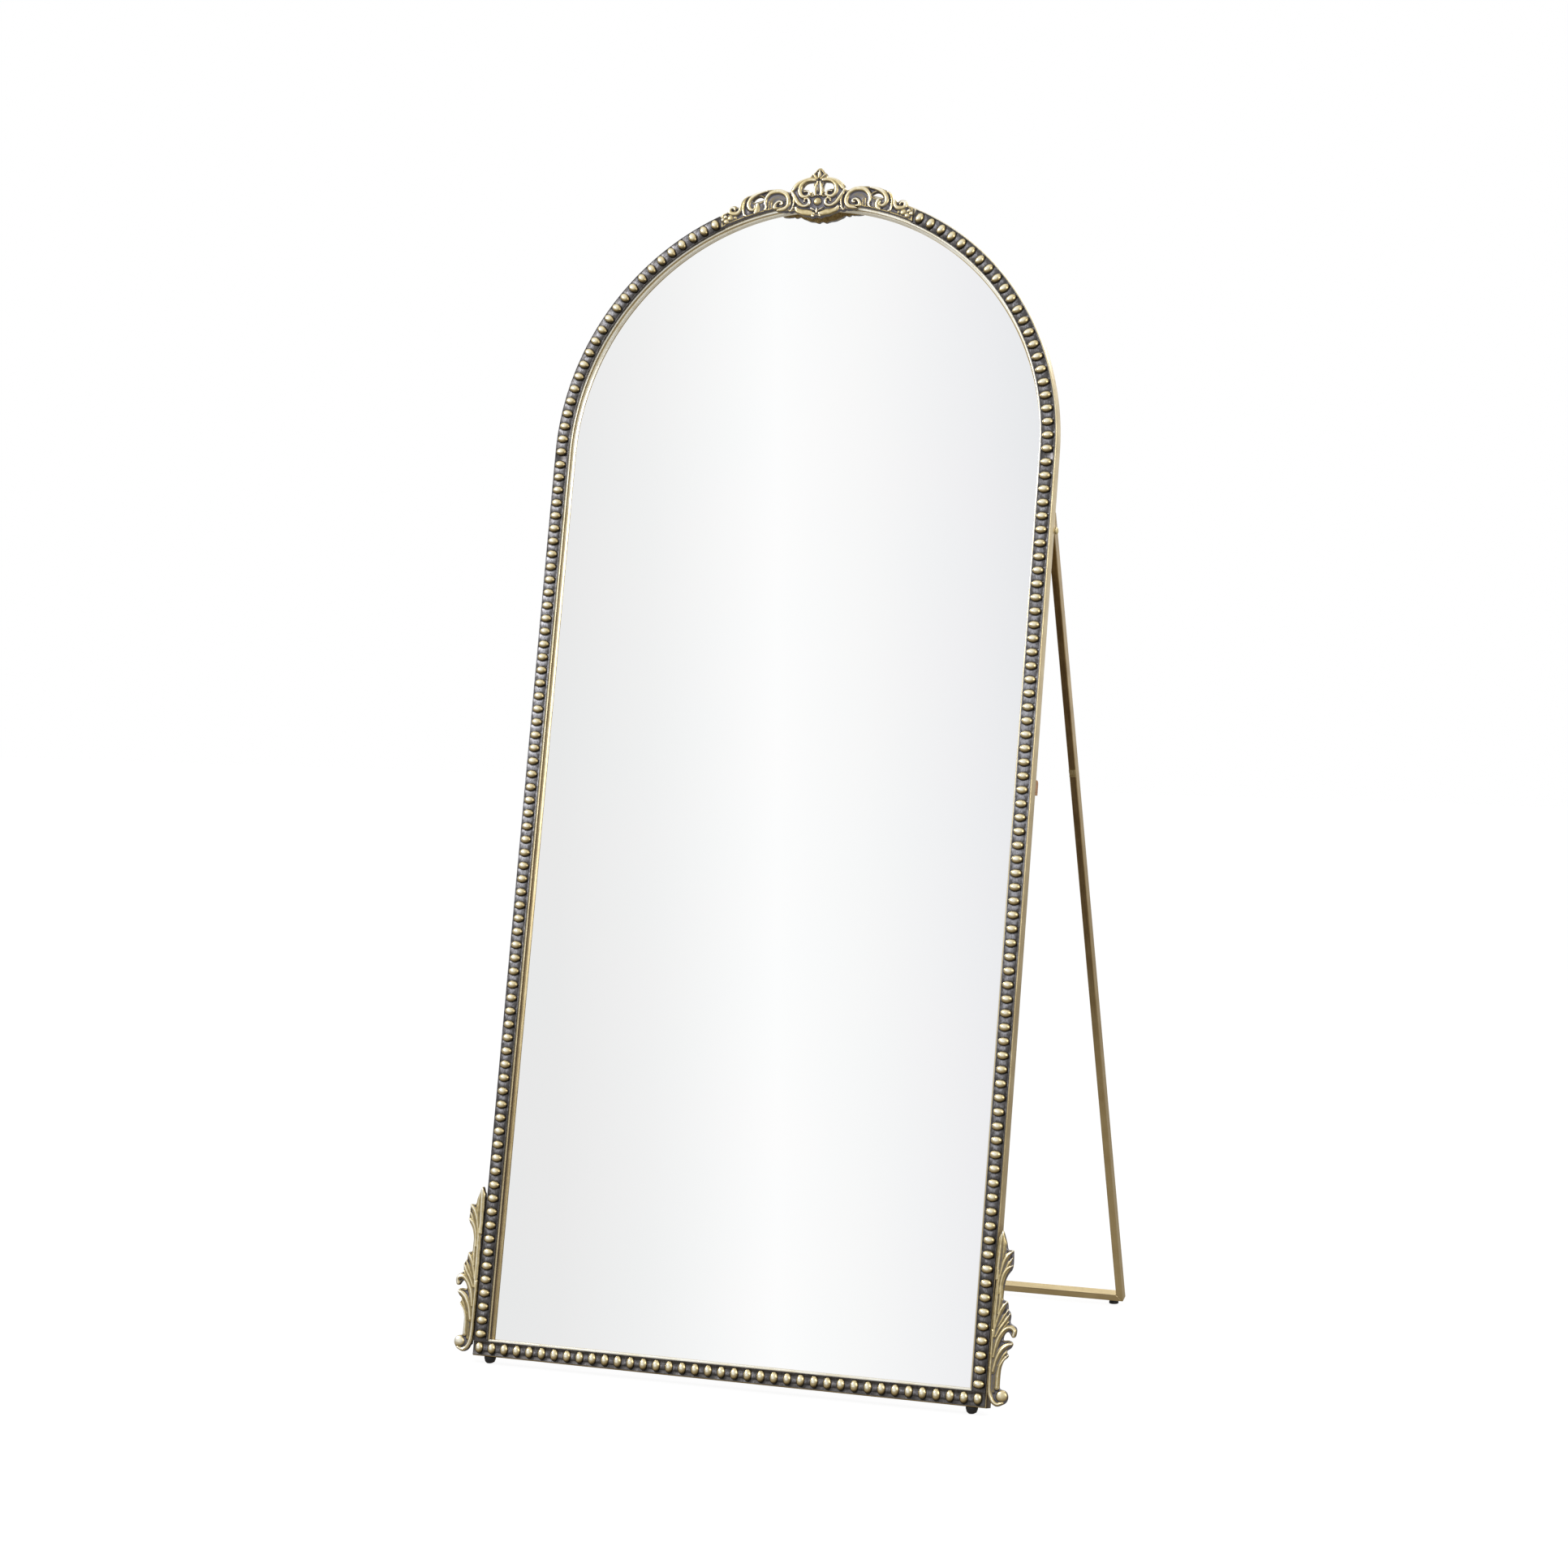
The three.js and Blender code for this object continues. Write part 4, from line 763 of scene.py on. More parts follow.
@dataclass(frozen=True)
class CastBrass:
    """Cast zinc, brass plated, stained dark in its hollows and rubbed bright on its ridges.

    Attributes:
        name: of the material.
        stops: colours from stained to rubbed.
        grain: of the unevenness, mm.
        uneven: how far noise moves the wear.
        rough: roughness where stained, and where rubbed.
        underside: painted shade, how much the wear drops on a surface that faces down.
        pits: grain, depth and strength of the casting pits, mm.
    """

    name: str
    stops: tuple
    grain: float = 5.0
    uneven: float = 0.08
    rough: tuple = (0.5, 0.24)
    underside: float = 0.3
    pits: tuple = (0.9, 0.12, 0.35)

    def build(self) -> bpy.types.Material:
        """Material whose colour and gloss follow the wear value, with painted shade where it faces down, over
        fine casting pits.
        """
        material, tree, shader = new_material(self.name)
        patchy = mapped(tree, surface_pattern(tree, self.grain), *USUAL, -self.uneven, self.uneven)
        # painted shade on surfaces that face down
        under = mapped(tree, facing_up(tree), -0.8, 0.0, -self.underside, 0.0)
        level = total(tree, patchy, under, wear_and_shade_level(tree), clamp=True)
        coat(tree, shader, ramp(tree, level, self.stops), mapped(tree, level, 0, 1, *self.rough))
        grain, depth, strength = self.pits
        pits = surface_pattern(tree, grain, detail=2.0)
        tree.links.new(bumped(tree, pits, depth, strength), shader.inputs["Normal"])
        return material


@dataclass(frozen=True)
class GoldLacquer:
    """Steel bar in gold lacquer over a brown ground.

    Attributes:
        name: of the material.
        stops: colours from the ground to worn lacquer.
        streak: grain of the streaks along X, Y and Z, mm.
        tilt: degrees that the working frame is turned about X.
        rough: roughness over the streaks.
        underside: painted shade, how much browner a surface is that faces down.
        drift: how far streaks and clouds move the wear.
        clouds: their size, mm.
        bump: depth of the streaks, mm, and strength.
    """

    name: str
    stops: tuple
    streak: tuple
    tilt: float
    rough: tuple = (0.26, 0.42)
    underside: float = 0.0
    drift: float = 0.08
    clouds: float = 26.0
    bump: tuple = (0.04, 0.2)

    def build(self) -> bpy.types.Material:
        """Material whose tone follows the wear, with painted shade where the surface faces down, streaked
        along the bar.
        """
        material, tree, shader = new_material(self.name)
        streaks = surface_pattern(tree, self.streak, self.tilt, 4.0)
        clouds = surface_pattern(tree, self.clouds, self.tilt, 2.0)
        drift = mapped(tree, total(tree, streaks, clouds), 0.7, 1.3, -self.drift, self.drift)
        # painted shade on surfaces that face down
        under = mapped(tree, facing_up(tree), -0.35, -0.02, -self.underside, 0.0)
        level = total(tree, drift, under, wear_and_shade_level(tree), clamp=True)
        coat(tree, shader, ramp(tree, level, self.stops), mapped(tree, streaks, *USUAL, *self.rough))
        tree.links.new(bumped(tree, streaks, *self.bump), shader.inputs["Normal"])
        return material


@dataclass(frozen=True)
class Pewter:
    """Blackened tin alloy strip: dark grey, faintly hammered, semi-bright.

    Attributes:
        name: of the material.
        stops: colours from blackened to rubbed.
        cloud: how far the hammering moves the tone.
        low: heights between which the tone rises, metres, and the tone at both.
        high: heights between which it falls again, metres, and its change at both.
    """

    name: str = "blackened_pewter"
    stops: tuple = ((0.0, "#3D3B3A"), (0.5, "#605D5C"), (1.0, "#AEAEB4"))
    cloud: float = 0.22
    low: tuple = (0.15, 0.75, -0.18, 0.12)
    high: tuple = (0.9, 1.3, 0.0, -0.24)

    def build(self) -> bpy.types.Material:
        """Material with hammered bump and a cloudy tone, lighter where it is rubbed, with painted light and
        shade by height: darker towards the foot and again above 0.9 m.
        """
        material, tree, shader = new_material(self.name)
        hammer = surface_pattern(tree, 7.0, MIRROR_FRAME.tilt, 1.0)
        fine = surface_pattern(tree, (1.5, 1.5, 4.0), MIRROR_FRAME.tilt, 2.0)
        cloud = mapped(tree, total(tree, hammer, fine), 0.75, 1.3, -self.cloud, self.cloud)
        height = add(tree, "SeparateXYZ", {0: add(tree, "TexCoord").outputs["Object"]}).outputs[2]
        # painted light and shade by height: darker at the foot, lighter by 0.75 m, darker again above 0.9 m
        height_shading = total(tree, mapped(tree, height, *self.low), mapped(tree, height, *self.high))
        # this wear also holds the painted light of the pin heads and facets
        rubbed = mapped(tree, wear_and_shade_level(tree), 0.2, 1.0, 0.15, 1.0)
        level = total(tree, cloud, height_shading, rubbed, clamp=True)
        coat(tree, shader, ramp(tree, level, self.stops), mapped(tree, fine, *USUAL, 0.34, 0.46))
        tree.links.new(bumped(tree, hammer, 0.3, 0.35), shader.inputs["Normal"])
        return material


@dataclass(frozen=True)
class Hardboard:
    """Pressed wood-fibre board: brown, matt, with short tangled fibres about 4 mm long."""

    name: str = "pressed_hardboard"
    stops: tuple = ((0.0, "#33271D"), (0.5, "#4F3D2E"), (1.0, "#7A6149"))
    fibre: tuple = (4.0, 0.8)
    span: tuple = (0.4, 0.75)

    def build(self) -> bpy.types.Material:
        """Two noises of fibre, in colour and bump."""
        material, tree, shader = new_material(self.name)
        long, thin = self.fibre
        grains = ((long, long, thin), (thin, long, long))
        along, across = (surface_pattern(tree, grain, MIRROR_FRAME.tilt, 4.0) for grain in grains)
        fibre = add(tree, "Math", {0: along, 1: across}, operation="MAXIMUM").outputs[0]
        colour = ramp(tree, mapped(tree, fibre, *self.span, 0, 1), self.stops)
        coat(tree, shader, colour, mapped(tree, fibre, *self.span, 0.9, 0.7), 0.0)
        tree.links.new(bumped(tree, fibre, 0.15, 0.4), shader.inputs["Normal"])
        return material


@dataclass(frozen=True)
class EvenFinish:
    """Finish that is the same all over but for noise in its colour, gloss and bump.

    Attributes:
        name: of the material.
        stops: colours over the first noise.
        rough: roughness over the range of the second noise.
        grains: of the two noises, mm.
        details: octaves of the two noises.
        metallic: share of metal.
        bump: depth, mm, and strength; none where polished.
        span: range of the second noise that the roughness uses.
        tilt: degrees that the working frame is turned about X.
        refraction: index of a plastic.
    """

    name: str
    stops: tuple
    rough: tuple
    grains: tuple
    details: tuple
    metallic: float = 1.0
    bump: Optional[tuple] = None
    span: tuple = USUAL
    tilt: float = 0.0
    refraction: Optional[float] = None

    def build(self) -> bpy.types.Material:
        """Material with one noise in its colour and one in its gloss and bump."""
        material, tree, shader = new_material(self.name)
        cloud, grain = (
            surface_pattern(tree, size, self.tilt, detail) for size, detail in zip(self.grains, self.details)
        )
        rough = mapped(tree, grain, *self.span, *self.rough)
        coat(tree, shader, ramp(tree, cloud, self.stops), rough, self.metallic)
        if self.bump:
            tree.links.new(bumped(tree, grain, *self.bump), shader.inputs["Normal"])
        if self.refraction:
            shader.inputs["IOR"].default_value = self.refraction
        return material


def moulded(name: str, dark: str, light: str, rough: tuple) -> EvenFinish:
    """Injection-moulded polymer, slightly mottled, with a fine spark-eroded grain of 0.4 mm."""
    return EvenFinish(name, ((0.3, dark), (0.7, light)), rough, (6.0, 0.4), (2.0, 2.0), 0.0, (0.04, 0.3),
                      refraction=1.49)


class Finishes:
    """Every finish of the mirror, built once."""

    def __init__(self) -> None:
        """Builds the materials."""
        tilt = MIRROR_FRAME.tilt
        # cast brass colours by wear: blue-grey patina in hollows up to rubbed ridges; the wear also carries
        # painted shade and highlight
        stained_and_shaded = (
            (0.0, "#77757C"), (0.14, "#7A7672"), (0.32, "#8D7F60"), (0.55, "#BAA878"), (0.78, "#E4D4A8"),
            (1.0, "#FFFAE8"),
        )
        # bead colours: the near-white top stop is painted highlight
        pressed = ((0.0, "#4A4335"), (0.2, "#85744F"), (0.45, "#C1AE80"), (0.75, "#EDDFB4"), (1.0, "#FFFCEC"))
        plated = ((0.0, "#CBBB8C"), (0.08, "#E6D9AE"), (1.0, "#F6ECCB"))
        lacquer = (
            (0.0, "#33281A"), (0.15, "#6B5330"), (0.38, "#9C8556"), (0.62, "#C8B68C"), (0.85, "#EADDB8"),
            (1.0, "#FFFDF2"),
        )
        browned = ((0.0, "#3F3222"), (0.2, "#5C4E36"), (0.45, "#86704A"), (0.65, "#B6A074"), (1.0, "#D8C79C"))
        washed = ((0.3, "#93794A"), (0.5, "#AC915C"), (0.7, "#C6AE78"))
        zinc = ((0.3, "#9A9FA6"), (0.5, "#BCC0C4"), (0.7, "#D2D4D2"))
        silver = ((0.3, "#FCFDFD"), (0.7, "#FDFDFD"))
        upright, level = (1.2, 1.2, 60.0), (60.0, 1.2, 1.2)
        leg, foot = (1.0, 1.0, 45.0), (45.0, 1.0, 1.0)
        self.cast = CastBrass("stained_shaded_cast_brass", stained_and_shaded).build()
        self.bead = CastBrass("pressed_brass_bead", pressed, 7.0, 0.05, (0.4, 0.2)).build()
        self.plated = CastBrass("pale_brass_plate", plated, 3.0, underside=0.0).build()
        self.bar = GoldLacquer("gold_lacquered_bar", lacquer, upright, tilt).build()
        # the bottom rail's finish paints shade on its downward faces
        self.bar_across = GoldLacquer("gold_lacquered_crossbar", lacquer, level, tilt, underside=0.45).build()
        self.leg = GoldLacquer("gold_brown_leg", browned, leg, STAND_FRAME.tilt).build()
        self.crossbar = GoldLacquer("gold_brown_foot_bar", browned, foot, STAND_FRAME.tilt).build()
        self.cast_back = EvenFinish(
            "brown_washed_zinc", washed, (0.5, 0.68), (9.0, 2.5), (3.0, 1.0), 0.3, (0.15, 0.4), tilt=tilt,
        ).build()
        self.zinc = EvenFinish(
            "bright_zinc_plate", zinc, (0.45, 0.28), (3.0, 3.0), (4.0, 4.0), bump=(0.05, 0.3),
        ).build()
        self.glass = EvenFinish(
            "silvered_float_glass", silver, (0.0, 0.012), (180.0, 180.0), (1.0, 1.0), span=(0.35, 0.65),
            tilt=tilt,
        ).build()
        self.pewter = Pewter().build()
        self.board = Hardboard().build()
        self.latch = moulded("orange_brown_nylon", "#80552E", "#A47543", (0.34, 0.48)).build()
        self.rubber = moulded("black_polypropylene", "#101012", "#1E1E21", (0.36, 0.5)).build()


# ------------------------------------------------------------------ frame bars


@dataclass
class ArchedFrame:
    """The rebated bars round the glass: two stiles, a half-circle arch and a bottom rail.

    Attributes:
        half_width: over the outer faces of the stiles.
        arch_centre: height of the arch's centre.
        face: width seen from the front.
        depth: front to back.
        rebate_width: how far the glass reaches behind the front lip.
        rebate_front: depth of the lip, down to the bevel of the glass.
        joint: half the gap of a mitre.
        flat: from the lip's edge to where its flat face starts.
        shaded: heights between which the painted shade on the inner wall goes from full to none.
        wall: depths down the inner wall.
        unshaded: wear at those depths where the wall has no painted shade from height; its dip behind the lip
            is painted shade.
        stained_and_shaded: wear at those depths where the wall has full painted shade.
        lip: wear across the front, at the outer edge, its roll, the flat's end and the inner edge.
        outer_wear: of the outer faces.
        back_wear: of all else.
        leaf_shade: heights beside the corner leaf, and how much painted shade darkens the outer face there.
    """

    half_width: float = HALF_WIDTH
    arch_centre: float = ARCH_CENTRE
    face: float = 23.5
    depth: float = 20.0
    rebate_width: float = 4.5
    rebate_front: float = 11.1
    joint: float = 0.12
    flat: float = 3.0
    shaded: tuple = (250.0, 1500.0)
    wall: tuple = (0.9, 1.6, 3.2, 5.0, 6.2, 8.0, 11.1)
    unshaded: tuple = (0.9, 0.5, 0.42, 0.5, 0.9, 1.0, 1.0)
    stained_and_shaded: tuple = (0.5, 0.14, 0.06, 0.04, 0.2, 0.5, 0.55)
    lip: tuple = (0.85, 0.9, 0.9, 1.0)
    outer_wear: float = 0.62
    back_wear: float = 0.55
    leaf_shade: tuple = ((0.0, 0.6), (205.0, 0.6), (240.0, 0.0), (750.0, 0.0))

    def section(self) -> Points:
        """Closed profile: distance in from the outer face, and depth, with small rolled corners."""
        rim = self.face - self.rebate_width
        return fillet([
            (0, 0, 1.5), (self.face - self.flat, 0, 0), (self.face, 0, 0.9),
            *((self.face, depth, 0) for depth in self.wall[1:]),
            (rim, self.rebate_front, 0), (rim, self.depth, 0.4), (0, self.depth, 0.8),
        ])

    def tone(self, height: float) -> np.ndarray:
        """Wear round the profile at a height: bright on lip and front corners, with painted shade on the wall
        and the front low down.
        """
        inwards, depth = self.section().T
        # painted shade: full at the foot of the frame, none near the top of the arch
        stain_and_shade = np.interp(height, self.shaded, [1.0, 0.0])
        levels = stain_and_shade * np.array(self.stained_and_shaded) + (1 - stain_and_shade) * np.array(self.unshaded)
        on_wall = np.interp(depth, self.wall, levels)
        # painted shade darkens the front low down
        front = np.interp(inwards, [0, 1.5, self.face - self.flat, self.face], self.lip) - 0.3 * stain_and_shade
        tone = np.where(depth < 0.6, front, np.where(inwards > self.face - 0.5, on_wall, self.back_wear))
        return np.where((inwards < 0.5) & (depth >= 0.6), self.outer_wear, tone)

    def stile(self, side: int) -> Solid:
        """Upright bar, mitred at 45 degrees below: z = distance in, at its foot; painted shade beside the
        leaf.
        """
        inwards, depth = self.section().T
        x = side * (self.half_width - inwards)
        rings, wear_and_shade = [], []
        outside = (inwards < 2.0) & (depth > 0.6) & (depth < self.depth - 0.5)
        for height, stain_and_shade in (*self.leaf_shade, (self.arch_centre - self.joint, 0.0)):
            z = np.full(len(x), height) if height else inwards + self.joint
            rings.append(np.column_stack([x, depth, z]))
            # painted shade on the outer face beside the leaf
            wear_and_shade.append(self.tone(height) - np.where(outside, stain_and_shade, 0.0))
        return Solid(*sweep(np.stack(rings)), wear_and_shade=np.concatenate(wear_and_shade))

    def arch(self, steps: int = 144) -> Solid:
        """Bar carried round a half circle: radius = half width - distance in."""
        inwards, depth = self.section().T
        radius = self.half_width - inwards
        angle = np.linspace(0, np.pi, steps + 1)[:, None]
        x, z = radius * np.cos(angle), self.arch_centre + radius * np.sin(angle)
        rings = np.stack([x, np.broadcast_to(depth, x.shape), z], axis=-1)
        return Solid(*sweep(rings), wear_and_shade=np.concatenate([self.tone(ring[0, 2]) for ring in rings]))

    def bottom(self) -> Solid:
        """Level bar, mitred at both ends: x = +-(half width - distance up)."""
        inwards, depth = self.section().T
        reach = self.half_width - inwards - self.joint
        ends = [np.column_stack([way * reach, depth, inwards]) for way in (-1, 1)]
        return Solid(*sweep(np.stack(ends)), wear_and_shade=np.tile(self.tone(self.arch_centre + self.half_width), 2))

    def build(self, finishes: Finishes) -> None:
        """Makes the four bars in place of the CAD ones."""
        for name, side in SIDES.items():
            make_piece(f"stile_{name}", [self.stile(side)], BARS, [finishes.bar], f"frame_stile_{name}")
        make_piece("arch_rail", [self.arch()], BARS, [finishes.bar], "frame_arch_rail")
        make_piece("bottom_rail", [self.bottom()], BARS, [finishes.bar_across], "frame_bottom_rail")


# ------------------------------------------------------------------ glass and board


@dataclass
class ArchedGlass:
    """The silvered sheet, bevelled along its sides and arch, and the board behind it."""

    half_width: float = 351.8
    bottom: float = 19.7
    arch_centre: float = ARCH_CENTRE
    front: float = 9.8
    thickness: float = 4.0
    bevel_width: float = 7.4
    bevel_depth: float = 2.2

    def outline(self, inset: float, steps: int = 128) -> Points:
        """Arched outline, its sides and arch drawn in by an inset: two bottom corners, then a half circle."""
        half = self.half_width - inset
        angle = np.linspace(0, np.pi, steps + 1)
        arc = np.column_stack([half * np.cos(angle), self.arch_centre + half * np.sin(angle)])
        return np.concatenate([[[-half, self.bottom], [half, self.bottom]], arc])

    def sheet(self) -> Solid:
        """Rings from the back, over the edge and the bevel, to the front."""
        levels = (
            (0.0, self.front + self.thickness), (0.0, self.front + self.bevel_depth),
            (self.bevel_width, self.front),
        )
        rings = [np.insert(self.outline(inset), 1, depth, axis=1) for inset, depth in levels]
        return Solid(*sweep(np.stack(rings)))

    def build(self, finishes: Finishes) -> None:
        """Makes the sheet and dresses the board."""
        make_piece("arched_mirror_glass", [self.sheet()], GLASS, [finishes.glass], "mirror_glass", crease=3.0)
        dress("backing_board", finishes.board)


# ------------------------------------------------------------------ beaded trim


@dataclass
class BeadedTrim:
    """Pewter strips with oval brass beads, on the front of the bars.

    Attributes:
        radius: from the middle of the arch to the row of beads.
        arch_centre: height of the arch's centre.
        inset: of the bottom row, above the bottom edge.
        width: of the strip.
        back: depth of the strip's back.
        thickness: of the strip.
        across: bead across the strip.
        along: bead along the strip.
        height: of a bead.
        facet: half diagonals across and along, and height, of the low pyramids between the beads.
        pin: radius of the pin heads on them.
        crest_span: half width of the crest.
        side_beads: steps of a side row.
        bottom_beads: steps of the bottom row.
        joint: gap between two strips.
    """

    radius: float = BEAD_RADIUS
    arch_centre: float = ARCH_CENTRE
    inset: float = BEAD_INSET
    width: float = 19.5
    back: float = -SEAT
    thickness: float = 3.0
    across: float = 16.2
    along: float = 12.4
    height: float = 5.2
    facet: tuple = (12.5, 7.4, 1.9)
    pin: float = 0.85
    crest_span: float = 143.0
    side_beads: int = 68
    bottom_beads: int = 38
    joint: float = 0.05

    @property
    def step(self) -> float:
        """Distance between the beads of a side row."""
        return (self.arch_centre - self.inset) / self.side_beads

    def dome(self, rings: Sequence[tuple], sides: int) -> tuple[Points, Faces, np.ndarray]:
        """Unit dome on the strip: rings of share of radius, height and wear, closed by one point on top.

        Args:
            rings: from the foot upwards; the last is the top.
            sides: number of points per ring.

        Returns:
            Points (x across, y forward, z along), faces and wear.
        """
        share, lift, wear_and_shade = np.array(rings[:-1]).T
        angle = 2 * np.pi * (np.arange(sides) + 0.5) / sides
        x = share[:, None] * np.cos(angle)
        z = share[:, None] * np.sin(angle)
        y = np.broadcast_to(-lift[:, None], x.shape)
        points, faces = sweep(np.stack([x, y, z], axis=-1))
        faces = faces[:-1]
        top = len(points)
        points = np.concatenate([points, [[0, -rings[-1][1], 0]]])
        faces += [[top - sides + i, top - sides + (i + 1) % sides, top] for i in range(sides)]
        return points, faces, np.concatenate([np.repeat(wear_and_shade, sides), [rings[-1][2]]])

    def row(self, x: np.ndarray, z: np.ndarray, turn: np.ndarray, size: tuple[float, float],
            rings: Sequence[tuple], sides: int, finish: int) -> list[Solid]:
        """Copies of a dome at given places, each turned in the plane of the strip.

        Each carries painted shade low down and to the right, and painted highlight high up and to the left:
        wear + 0.2 * (up - 0.5 * right).

        Args:
            x: places.
            z: places.
            turn: angle of each bead's long axis.
            size: half axes across and along.
            rings: profile of the dome.
            sides: points per ring.
            finish: finish number.

        Returns:
            One solid per place.
        """
        unit, faces, wear_and_shade = self.dome(rings, sides)
        local = unit * np.array([size[0], 1, size[1]])
        cosine, sine = np.cos(turn)[:, None], np.sin(turn)[:, None]
        px = x[:, None] + cosine * local[:, 0] - sine * local[:, 2]
        pz = z[:, None] + sine * local[:, 0] + cosine * local[:, 2]
        py = np.broadcast_to(local[:, 1] + self.back - self.thickness, px.shape)
        # painted light: up and to the left painted lit, down and to the right painted shaded
        lit_side = (pz - z[:, None]) / size[1] - 0.5 * (px - x[:, None]) / size[0]
        worn = np.clip(wear_and_shade + 0.2 * lit_side, 0, 1)
        return [Solid(np.column_stack(part[:3]), faces, finish, part[3]) for part in zip(px, py, pz, worn)]

    def strip_profile(self) -> Points:
        """Section of the strip: offset from its middle line, and depth, with a rolled rim on both edges."""
        half, front = self.width / 2, self.back - self.thickness
        edge = [(half, front + 0.35), (half - 0.35, front), (half - 0.9, front), (half - 1.3, front + 0.4)]
        mirrored = [(-offset, depth) for offset, depth in reversed(edge)]
        return np.array([(-half, self.back), (half, self.back), *edge, *mirrored])

    def strip(self, x: np.ndarray, z: np.ndarray, turn: np.ndarray) -> Solid:
        """Strip's section carried along its middle line, held square to it.

        Args:
            x: middle line.
            z: middle line.
            turn: angle of the outward direction at each point.

        Returns:
            The strip.
        """
        offset, depth = self.strip_profile().T
        across, up = np.cos(turn)[:, None] * offset, np.sin(turn)[:, None] * offset
        level = np.broadcast_to(depth, across.shape)
        return Solid(*sweep(np.stack([x[:, None] + across, level, z[:, None] + up], axis=-1)))

    def assemble(self, side: str, strip: Solid, beads: tuple, dots: tuple, finishes: Finishes) -> None:
        """Joins a strip, its beads and the pin heads between them into one piece.

        Args:
            side: which strip it is.
            strip: the strip.
            beads: x, z and turn of the beads.
            dots: x, z and turn of the pin heads.
            finishes: the finishes.
        """
        # ring levels: patina dark at the collar, rubbed wear and painted highlight bright at the top
        rises = ((-0.06, 0.0), (0.2, 0.12), (0.55, 0.38), (0.95, 0.64), (1.3, 0.9), (math.pi / 2, 1.0))
        oval = [(math.cos(rise), self.height * math.sin(rise), level) for rise, level in rises]
        facet_x, facet_z, facet_height = self.facet
        pin = ((1.0, 0.8, 0.5), (0.7, 2.1, 0.8), (0.0, 2.35, 1.0))
        pyramid = ((1.0, -0.45, 0.25), (0.9, -0.3, 0.45), (0.0, facet_height, 1.0))
        solids = [strip]
        solids += self.row(*dots, (facet_x, facet_z), pyramid, 4, 0)
        solids += self.row(*beads, (self.across / 2, self.along / 2), oval, 12, 1)
        solids += self.row(*dots, (self.pin, self.pin), pin, 6, 0)
        materials = [finishes.pewter, finishes.bead]
        make_piece(f"beaded_trim_{side}", solids, TRIM, materials, f"bead_strip_{side}", crease=50.0)

    def bottom(self, finishes: Finishes) -> None:
        """Makes the bottom strip, its beads lying across it from corner to corner."""
        pitch = 2 * self.radius / self.bottom_beads
        end = self.radius + self.width / 2
        strip = self.strip(np.array([-end, end]), np.full(2, self.inset), np.full(2, np.pi / 2))
        x = np.arange(self.bottom_beads + 1) * pitch - self.radius
        beads = (x, np.full(len(x), self.inset), np.full(len(x), np.pi / 2))
        dots = (x[:-1] + pitch / 2, beads[1][:-1], np.zeros(len(x) - 1))
        self.assemble("bottom", strip, beads, dots, finishes)

    def upright(self, name: str, side: int, finishes: Finishes) -> None:
        """Makes the strip of one side, from the bottom strip to the arch."""
        turn = 0.0 if side > 0 else math.pi
        base = self.inset + self.width / 2 + self.joint
        ends = np.array([base, self.arch_centre - self.step / 2])
        strip = self.strip(np.full(2, side * self.radius), ends, np.full(2, turn))
        z = self.inset + np.arange(1, self.side_beads) * self.step
        x, turns = np.full(len(z), side * self.radius), np.full(len(z), turn)
        self.assemble(name, strip, (x, z, turns), (x[:-1], z[:-1] + self.step / 2, turns[:-1]), finishes)

    def arch(self, name: str, side: int, finishes: Finishes, steps: int = 59) -> None:
        """Makes the strip of one half of the arch, up to the crest, its beads a step apart."""
        bend, gap = self.step / self.radius, self.joint / self.radius
        span = math.acos(self.crest_span / self.radius)
        path = np.linspace(gap - bend / 2, span - 2 * gap, steps + 1)
        angle = np.arange(int(span / bend - 0.5) + 1) * bend
        turns = (path, angle, angle[:-1] + bend / 2)
        line, beads, dots = (
            (self.radius * np.cos(turn), self.arch_centre + self.radius * np.sin(turn), turn)
            for turn in (turn if side > 0 else np.pi - turn for turn in turns)
        )
        self.assemble(f"arch_{name}", self.strip(*line), beads, dots, finishes)

    def build(self, finishes: Finishes) -> None:
        """Makes the five strips."""
        self.bottom(finishes)
        for name, side in SIDES.items():
            self.upright(name, side, finishes)
            self.arch(name, side, finishes)


# ------------------------------------------------------------------ crest


